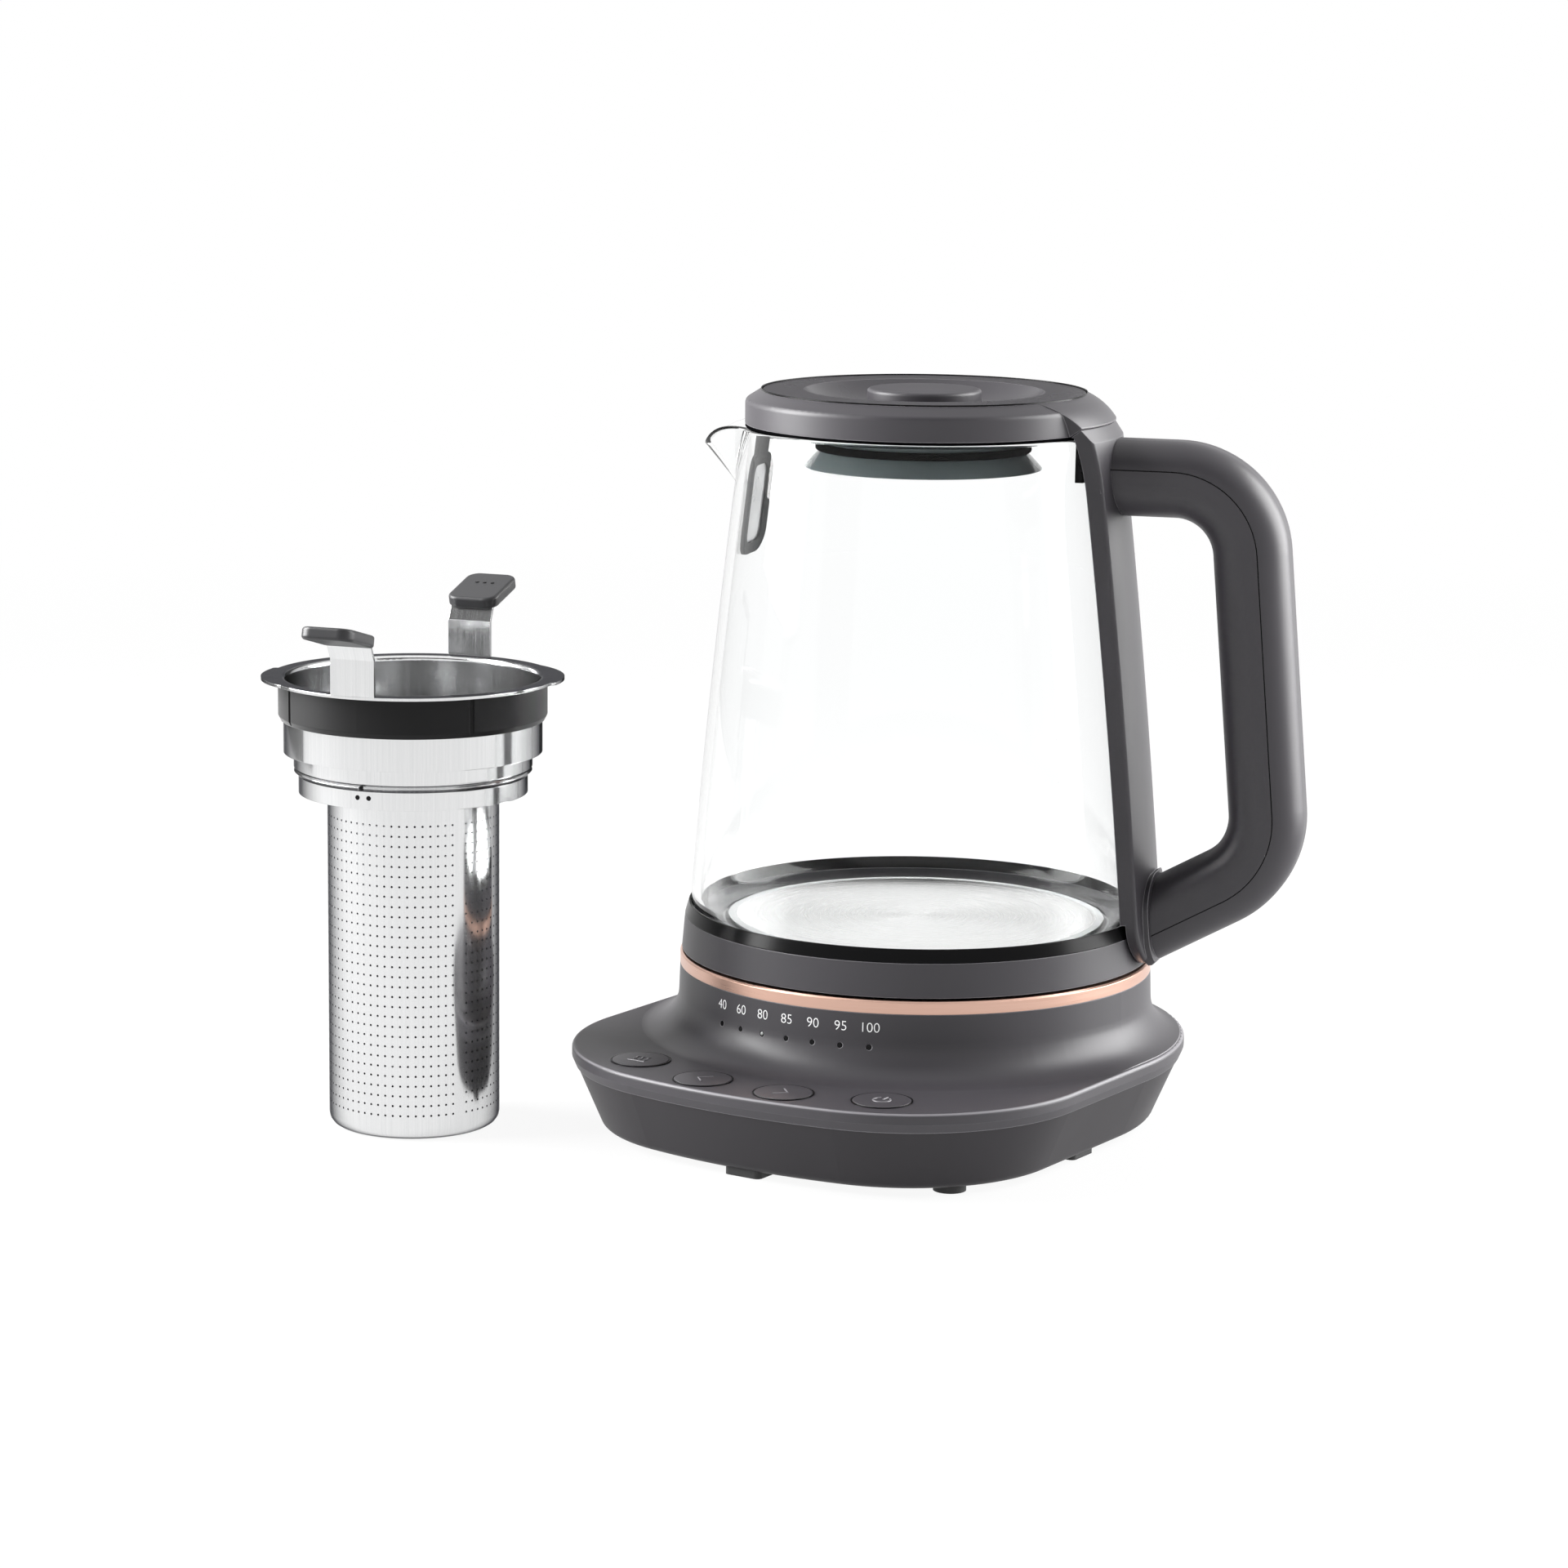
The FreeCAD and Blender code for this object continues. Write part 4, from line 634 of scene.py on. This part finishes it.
def run_to(bm, edge, end):
    """Extrude the edge along a straight run, given by the step from its start."""
    made = bmesh.ops.extrude_edge_only(bm, edges=[edge])["geom"]
    moved = [item for item in made if isinstance(item, bmesh.types.BMVert)]
    bmesh.ops.translate(bm, verts=moved, vec=(end.x * mm, 0, end.y * mm))
    edges = [item for item in made if isinstance(item, bmesh.types.BMEdge)]
    return next(item for item in edges if set(item.verts) == set(moved))


def bend_round(bm, edge, centre, angle):
    """Spin the edge round a bend of the handle."""
    made = bmesh.ops.spin(bm, geom=[*edge.verts, edge], cent=(centre.x * mm, 0, centre.y * mm),
                          axis=(0, 1, 0), angle=angle, steps=bend_steps, use_merge=False,
                          use_duplicate=False)["geom_last"]
    return next(item for item in made if isinstance(item, bmesh.types.BMEdge))


def bend_at(before, corner, after, radius):
    """Length of the tangent, centre and angle of the bend at a corner of the handle's centre line."""
    into, out = (corner - before).normalized(), (after - corner).normalized()
    angle = math.acos(into.dot(out))
    tangent = radius * math.tan(angle / 2)
    return tangent, corner - into * tangent + Vector((into.y, -into.x)) * radius, angle


top_tangent, top_centre, top_angle = bend_at(arm_start, bend_top, bend_low, bend_top_round)
low_tangent, low_centre, low_angle = bend_at(bend_top, bend_low, arm_end, bend_low_round)
rise = grip_seam - (grip_half_height - grip_corner)
seam_side = grip_half_width - grip_corner + math.sqrt(grip_corner ** 2 - rise ** 2) + seam_proud
bm = bmesh.new()
seam_heights = [arm_start.y + grip_seam + v for v in (-seam_half, seam_half)]
edge = bm.edges.new([bm.verts.new((arm_start.x * mm, -seam_side * mm, z * mm)) for z in seam_heights])
edge = run_to(bm, edge, bend_top - arm_start - Vector((top_tangent, 0)))
edge = bend_round(bm, edge, top_centre, top_angle)
down = bend_low - bend_top
edge = run_to(bm, edge, down.normalized() * (down.length - top_tangent - low_tangent))
edge = bend_round(bm, edge, low_centre, low_angle)
back = arm_end - bend_low
run_to(bm, edge, back.normalized() * (back.length - low_tangent))
bmesh.ops.remove_doubles(bm, verts=bm.verts[:], dist=weld)
bmesh.ops.mirror(bm, geom=bm.verts[:] + bm.edges[:] + bm.faces[:], matrix=Matrix.Identity(4),
                 merge_dist=0.0, axis="Y")
for face in bm.faces:
    if face.normal.y * face.calc_center_median().y < 0:
        face.normal_flip()
bmesh.ops.solidify(bm, geom=bm.faces[:], thickness=seam_depth * mm)
bmesh.ops.rotate(bm, verts=bm.verts[:], cent=(0, 0, 0), matrix=Matrix.Rotation(jug_turn, 3, "Z"))
# The black strip is painted shade: the shadow in the seam between the handle's two shells.
keep("handle_seam_shade", bm, "jug", "black_plastic", polished_black)

# %% Painted shade in the gap round the lid
seal_turns = 144
# A black ring standing in the gap round the lid: painted shade, the shadow in that gap.
gap_shade_inner, gap_shade_outer, gap_shade_low, gap_shade_top = 55.24, 55.65, 249.4, 252.85
corners = [(gap_shade_inner, gap_shade_low), (gap_shade_outer, gap_shade_low), (gap_shade_outer, gap_shade_top), (gap_shade_inner, gap_shade_top)]
keep("lid_gap_shade", spin_round(section(corners, closed=True), seal_turns), "jug", "rubber",
     polished_black)

# %% Sealing ring in the plug's waist
waist_inner, waist_outer, waist_low, waist_top, waist_round = 34.0, 36.9, 232.2, 234.8, 0.6
corners = [(waist_inner, waist_low), (waist_outer, waist_low, waist_round),
           (waist_outer, waist_top, waist_round), (waist_inner, waist_top)]
keep("plug_seal", spin_round(section(corners, closed=True), seal_turns), "lid", "rubber", dull_black,
     "lid_seal")

# %% [markdown]
# ## The perforated basket
# The basket is a deep-drawn steel cup, pierced all round with rows of fine holes, apart from a plain column
# where the sheet is welded. A cutter per hole would be slow, so the wall is spun as a grid with one square
# cell per hole: each cell is inset, the corners of the inset square are bevelled into an eight-sided hole,
# and its face is deleted. The sheet then gets its thickness, so the holes are real. All those small faces
# would make the polished wall look rippled, so its vertices go back on the true cylinder and its shading
# normals are set to point straight out, or straight in.

# %% Basket
basket_radius, basket_height, basket_round, basket_wall = 29.3, 117.0, 4.0, 0.8
hole_rows, hole_columns, hole_size = 30, 70, 0.74
first_row_z, hole_pitch = 8.8, 3.448
hole_corner, row_slack = 0.29, 0.05
weld_heading = math.radians(-20.7)
column_turn = math.tau / hole_columns
cell = column_turn * basket_radius
levels = [(0, 0), (basket_radius, 0, basket_round)]
for row in range(hole_rows):
    middle = first_row_z + row * hole_pitch
    levels += [(basket_radius, middle - cell / 2), (basket_radius, middle + cell / 2)]
levels += [(basket_radius, basket_height)]
bm = spin_round(section(levels), hole_columns)


def is_cell(face):
    """True for a wall cell that gets a hole: square, and not in the welded column."""
    centre = face.calc_center_median()
    row = (centre.z / mm - first_row_z) / hole_pitch
    column = math.atan2(centre.y, centre.x) % math.tau / column_turn
    return abs(row - round(row)) < row_slack and -0.5 < row < hole_rows - 0.5 and column > 1


cells = [face for face in bm.faces if is_cell(face)]
bmesh.ops.inset_individual(bm, faces=cells, thickness=(cell - hole_size) / 2 * mm, use_even_offset=True)
corners = list({vertex for face in cells for vertex in face.verts})
holes = len(cells)
bmesh.ops.bevel(bm, geom=corners, offset=hole_size * hole_corner * mm, offset_type="OFFSET", segments=1,
                profile=0.5, affect="VERTICES", material=-1)
small = (hole_size * mm) ** 2
centres = [face for face in bm.faces if face.calc_area() < small and len(face.verts) == 8]
bmesh.ops.delete(bm, geom=centres, context="FACES")
bmesh.ops.solidify(bm, geom=bm.faces[:], thickness=basket_wall * mm)
print("holes in the basket:", holes, "opened:", len(centres))

# %% Basket wall on its true cylinder
for vertex in bm.verts:
    reach = vertex.co.xy.length / mm
    if vertex.co.z > basket_round * mm and reach > basket_radius - 1.5 * basket_wall:
        true_reach = basket_radius if reach > basket_radius - basket_wall / 2 else basket_radius - basket_wall
        vertex.co.xy *= true_reach / reach


def out_share(normal, spot):
    """How far a normal points away from the basket's axis, from -1 to 1."""
    return normal.xy.dot(spot.xy.normalized())


# Painted shade: the inside of the basket, the walls of its holes and its bottom below shade_z take the darker
# grey steel; only the outside of the wall keeps the bright steel.
shade_z, outside_share, wall_share = 1.3, 0.5, 0.95
bm.normal_update()
for face in bm.faces:
    spot = face.calc_center_median()
    faces_out = out_share(face.normal, spot) > outside_share or face.normal.z < -outside_share
    is_outside = spot.z > shade_z * mm and faces_out
    face.material_index = 0 if is_outside and spot.xy.length > 0 else 1
weld_turn = Matrix.Rotation(weld_heading - column_turn / 2, 3, "Z")
bmesh.ops.rotate(bm, verts=bm.verts[:], cent=(0, 0, 0), matrix=weld_turn)
bmesh.ops.translate(bm, verts=bm.verts[:], vec=infuser_centre)
basket = keep("pierced_basket", bm, "infuser", "steel", pierced_steel, "infuser_basket", smooth=50.0)
basket.data.materials.append(painted_shade_steel)
shading = [corner.vector.copy() for corner in basket.data.corner_normals]
for face in basket.data.polygons:
    for loop in face.loop_indices:
        spot = basket.data.vertices[basket.data.loops[loop].vertex_index].co - infuser_centre
        share = out_share(face.normal, spot)
        if abs(share) > wall_share and spot.z > basket_round * mm:
            shading[loop] = (spot * Vector((1, 1, 0))).normalized() * math.copysign(1, share)
basket.data.normals_split_custom_set(shading)
print("wall normals set")

# %% [markdown]
# ## Printing on the pedestal
# The seven temperatures are printed in white over their indicator windows. Text starts as a flat curve; it is
# made a mesh, cut into narrow upright strips and wrapped round the pedestal, so that it lies on the curve.

# %% Helpers for lettering
digit_share, slimmer = 0.7, 0.018


def from_curve(curve):
    """Turn a curve into a bmesh and drop the curve."""
    holder = bpy.data.objects.new(curve.name, curve)
    bpy.context.scene.collection.objects.link(holder)
    shape = bpy.data.meshes.new_from_object(holder.evaluated_get(bpy.context.evaluated_depsgraph_get()))
    bm = bmesh.new()
    bm.from_mesh(shape)
    bpy.data.objects.remove(holder)
    bpy.data.curves.remove(curve)
    bpy.data.meshes.remove(shape)
    bmesh.ops.remove_doubles(bm, verts=bm.verts[:], dist=weld)
    return bm


def text_mesh(words, height, thickness):
    """Flat text as a bmesh in metres, centred on x, standing on y = 0, with a real thickness."""
    curve = bpy.data.curves.new("words", "FONT")
    curve.body = words
    curve.align_x = "CENTER"
    curve.size = height / digit_share * mm
    curve.extrude = thickness / 2 * mm
    curve.offset = -slimmer * height * mm
    return from_curve(curve)


def stroke_mesh(strokes, width, thickness):
    """Round strokes through (x, y) points in millimetres as a flat bmesh in metres."""
    curve = bpy.data.curves.new("strokes", "CURVE")
    curve.dimensions = "3D"
    curve.bevel_depth = width / 2 * mm
    curve.bevel_resolution = 2
    curve.use_fill_caps = True
    for points in strokes:
        spline = curve.splines.new("POLY")
        spline.points.add(len(points) - 1)
        for knot, (x, y) in zip(spline.points, points):
            knot.co = (x * mm, y * mm, 0, 1)
    bm = from_curve(curve)
    bmesh.ops.scale(bm, vec=(1, 1, thickness / width), verts=bm.verts[:])
    return bm


def wrap_round(bm, radius_at, heading, z):
    """Wrap a flat bmesh, x across and y up, round the Z axis at a heading from -Y."""
    reach = max(abs(vertex.co.x) for vertex in bm.verts)
    strip = 0.7 * mm
    cuts = int(reach / strip)
    for i in range(-cuts, cuts + 1):
        bmesh.ops.bisect_plane(bm, geom=bm.verts[:] + bm.edges[:] + bm.faces[:], plane_co=(i * strip, 0, 0),
                               plane_no=(1, 0, 0))
    for vertex in bm.verts:
        x, y, proud = vertex.co
        radius = radius_at(z + y / mm) * mm + proud
        angle = heading + x / radius
        vertex.co = (radius * math.sin(angle), -radius * math.cos(angle), z * mm + y)
    return bm


white_print = finish("white_print", (236, 236, 236), (248, 248, 248), (0.45, 0.6), grain, grain_values)
frosted_print = finish("frosted_print", (246, 247, 247), (252, 252, 252), (0.4, 0.5), grain, grain_values,
                       sockets={"Alpha": 0.4})
pale_lens = finish("pale_lens", (150, 154, 152), (166, 169, 167), (0.2, 0.3), grain, grain_values)
# Painted highlight: the raised symbols are a paler grey than the plastic they are moulded in.
symbol_highlight_grey = finish("symbol_highlight_plastic", (104, 102, 106), (116, 114, 118), (0.3, 0.4), grain, grain_values)
print("lettering helpers ready")

# %% Temperatures
pedestal_top_z, pedestal_radius, pedestal_lean = 53.4, 81.75, 0.036
number_height, number_z, ink = 3.3, 47.0, 0.06
window_pitch, middle_window = math.radians(7.0), 3


def pedestal_r(z):
    """Radius of the pedestal's wall at height z, with half the ink's thickness."""
    return pedestal_radius + (pedestal_top_z - z) * pedestal_lean + ink / 2


for i, words in enumerate(("40", "60", "80", "85", "90", "95", "100")):
    window_turn = (i - middle_window) * window_pitch
    bm = wrap_round(text_mesh(words, number_height, ink), pedestal_r, window_turn, number_z)
    keep("temperature_" + words, bm, "base", "grey_plastic", white_print)

# %% The lit window
# Painted light: the one lit window is a lens in a paler colour, with no lamp in it.
lens_radius, lens_rise, lens_step, lit_window = 0.68, 0.22, 0.3, 2
low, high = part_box("light_pipe")
lens_z = (low[2] + high[2]) / 2 / mm
bm = bmesh.new()
bmesh.ops.create_circle(bm, cap_ends=True, segments=24, radius=lens_radius * mm)
for lift in (0.4, 0.75, 1.0):
    crown = max(bm.faces, key=lambda face: face.calc_center_median().z)
    bmesh.ops.inset_individual(bm, faces=[crown], thickness=lens_radius * lens_step * mm)
    bmesh.ops.translate(bm, verts=crown.verts, vec=(0, 0, lens_rise * lift * mm - crown.verts[0].co.z))
wrap_round(bm, pedestal_r, (lit_window - middle_window) * window_pitch, lens_z)
keep("lit_window", bm, "base", "light_pipe", pale_lens)

# %% [markdown]
# ## Caps and symbols on the buttons
# Each button has a low cap with a rounded edge, in a thin black ring that is painted shade, the shadow in the
# gap round the button, and carries a small raised symbol: keep warm, cooler, hotter and power. The symbols
# are a paler grey than the cap, a painted highlight on their strokes. They are drawn as round strokes,
# flattened, and set on the cap. Cap and symbol go down with the button; the ring stays in the base.

# %% Button symbols
wave = [(0.45 * math.sin(i * math.pi / 4), -1.3 + 0.55 * i) for i in range(9)]
waves = [[(x + shift, y) for x, y in wave] for shift in (-2.2, 0, 2.2)]
ring = [(2.9 * math.sin(math.radians(a)), 2.9 * math.cos(math.radians(a))) for a in range(35, 326, 10)]
symbols = {
    "keep_warm_button": [*waves, [(-3.3, -2.8), (3.3, -2.8)]],
    "cooler_button": [[(1.8, 3.6), (-1.8, 0), (1.8, -3.6)]],
    "hotter_button": [[(-1.8, 3.6), (1.8, 0), (-1.8, -3.6)]],
    "power_button": [ring, [(0, 0.6), (0, 3.6)]],
}
stroke_width, stroke_rise, cap_turns = 0.7, 0.5, 96
button_radius, bore_radius, cap_rise, cap_round, cap_root = 9.7, 10.0, 0.4, 0.35, 0.3
cap = [(0, cap_rise), (button_radius, cap_rise, cap_round), (button_radius, -cap_root), (0, -cap_root)]
# Painted shade: the black ring round each cap, and its pieces named seal, stand for the shadow in the gap
# round the button.
shade_gap, shade_flange, shade_root, shade_low, shade_rise = 0.04, 0.25, 1.0, 0.02, cap_rise * 0.7
ring_inner, ring_outer = button_radius + shade_gap, bore_radius + shade_flange
seal = [(ring_inner, -shade_root), (bore_radius, -shade_root), (bore_radius, shade_low), (ring_outer, shade_low),
        (ring_outer, shade_rise), (ring_inner, shade_rise)]
for button, strokes in symbols.items():
    low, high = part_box(button)
    top = Vector(((low[0] + high[0]) / 2, (low[1] + high[1]) / 2, high[2]))
    keep(button.replace("button", "cap"), spin_round(section(cap), cap_turns, top), button, "grey_plastic",
         satin_grey)
    keep(button.replace("button", "seal"), spin_round(section(seal, closed=True), cap_turns, top), "base",
         "rubber", polished_black)
    bm = stroke_mesh(strokes, stroke_width, stroke_rise)
    bmesh.ops.translate(bm, verts=bm.verts[:], vec=top + up * cap_rise * mm)
    keep(button.replace("button", "symbol"), bm, button, "grey_plastic", symbol_highlight_grey)

# %% [markdown]
# ## Litre marks on the glass
# The steps are printed in white on the glass beside the handle: a short line and a plain number for each.

# %% Litre marks
litre_levels = {"1.7": 173.7, "1.5": 160.4, "1.25": 143.9, "1.0": 129.6, "0.75": 115.1, "0.5": 100.8}
litre_heading = math.radians(74.0)
litre_height, line_half, line_drop, line_width = 3.2, 4.5, 1.4, 0.4
for words, z in litre_levels.items():
    bm = text_mesh(words, litre_height, ink)
    mark = stroke_mesh([[(-line_half, -line_drop), (line_half, -line_drop)]], line_width, ink)
    line = bpy.data.meshes.new("line")
    mark.to_mesh(line)
    mark.free()
    bm.from_mesh(line)
    bpy.data.meshes.remove(line)
    wrap_round(bm, lambda height: glass_r(height) + ink, litre_heading, z)
    keep("litre_mark_" + words.replace(".", "_"), bm, "jug", "clear_silicone", frosted_print)

# %% [markdown]
# ## Small marks on the infuser
# Three drain holes sit in a triangle on the infuser's neck, and three dots on each grip tell the fingers
# where to press. Both are small discs with a bevelled rim, set on the surface that carries them. The drain
# holes are not cut: each is a near-black disc, painted shade standing for the dark inside of a hole.

# %% Drain holes and grip dots
bevel_share, bevel_most = 0.6, 0.15


def small_disc(radius, rise):
    """A low disc with a bevelled rim on the XY plane, in metres."""
    bm = bmesh.new()
    bmesh.ops.create_circle(bm, cap_ends=True, segments=16, radius=radius * mm)
    raised = bmesh.ops.extrude_face_region(bm, geom=bm.faces[:])
    tops = [item for item in raised["geom"] if isinstance(item, bmesh.types.BMVert)]
    bmesh.ops.translate(bm, verts=tops, vec=(0, 0, rise * mm))
    bmesh.ops.recalc_face_normals(bm, faces=bm.faces[:])
    rim = [edge for edge in bm.edges if all(vertex in tops for vertex in edge.verts)]
    bmesh.ops.bevel(bm, geom=rim, offset=min(rise * bevel_share, bevel_most) * mm, offset_type="OFFSET",
                    segments=2, profile=0.5, affect="EDGES", material=-1)
    return bm


neck_radius, drain_heading, drain_radius = 39.0, math.radians(-77.8), 0.85
drain_spots = {"drain_hole_top": (0.0, 123.4, 1.5), "drain_hole_left": (-2.05, 119.9, 0.08),
               "drain_hole_right": (2.05, 119.9, 0.08)}
# Painted shade: each drain hole is a near-black disc, not a cut.
for name, (across, z, proud) in drain_spots.items():
    bm = small_disc(drain_radius, proud)
    drain_turn = Matrix.Rotation(drain_heading + across / neck_radius, 4, "Z")
    drain_spot = drain_turn @ Matrix.Translation((neck_radius * mm, 0, z * mm))
    face_out = Matrix.Rotation(math.pi / 2, 4, "Y")
    bmesh.ops.transform(bm, matrix=Matrix.Translation(infuser_centre) @ drain_spot @ face_out,
                        verts=bm.verts[:])
    keep(name, bm, "infuser", "rubber", smoked_window)
grip_hinge, grip_lift, grip_thickness = 52.0, 172.8, 4.2
grip_tilt, infuser_turn = math.radians(14.5), math.radians(-76.5)
dot_reach, dot_pitch, dot_radius, dot_rise = 11.0, 2.9, 0.7, 0.2
for grip, turn in (("front", 0.0), ("rear", math.pi)):
    lean = Matrix.Translation((grip_hinge * mm, 0, grip_lift * mm)) @ Matrix.Rotation(-grip_tilt, 4, "Y")
    carry = Matrix.Translation(infuser_centre) @ Matrix.Rotation(infuser_turn + turn, 4, "Z") @ lean
    for i in (-1, 0, 1):
        bm = small_disc(dot_radius, dot_rise)
        spot = Matrix.Translation((dot_reach * mm, i * dot_pitch * mm, grip_thickness * mm))
        bmesh.ops.transform(bm, matrix=carry @ spot, verts=bm.verts[:])
        keep("grip_dot_%s_%d" % (grip, i + 2), bm, "infuser", "rubber", smoked_window)
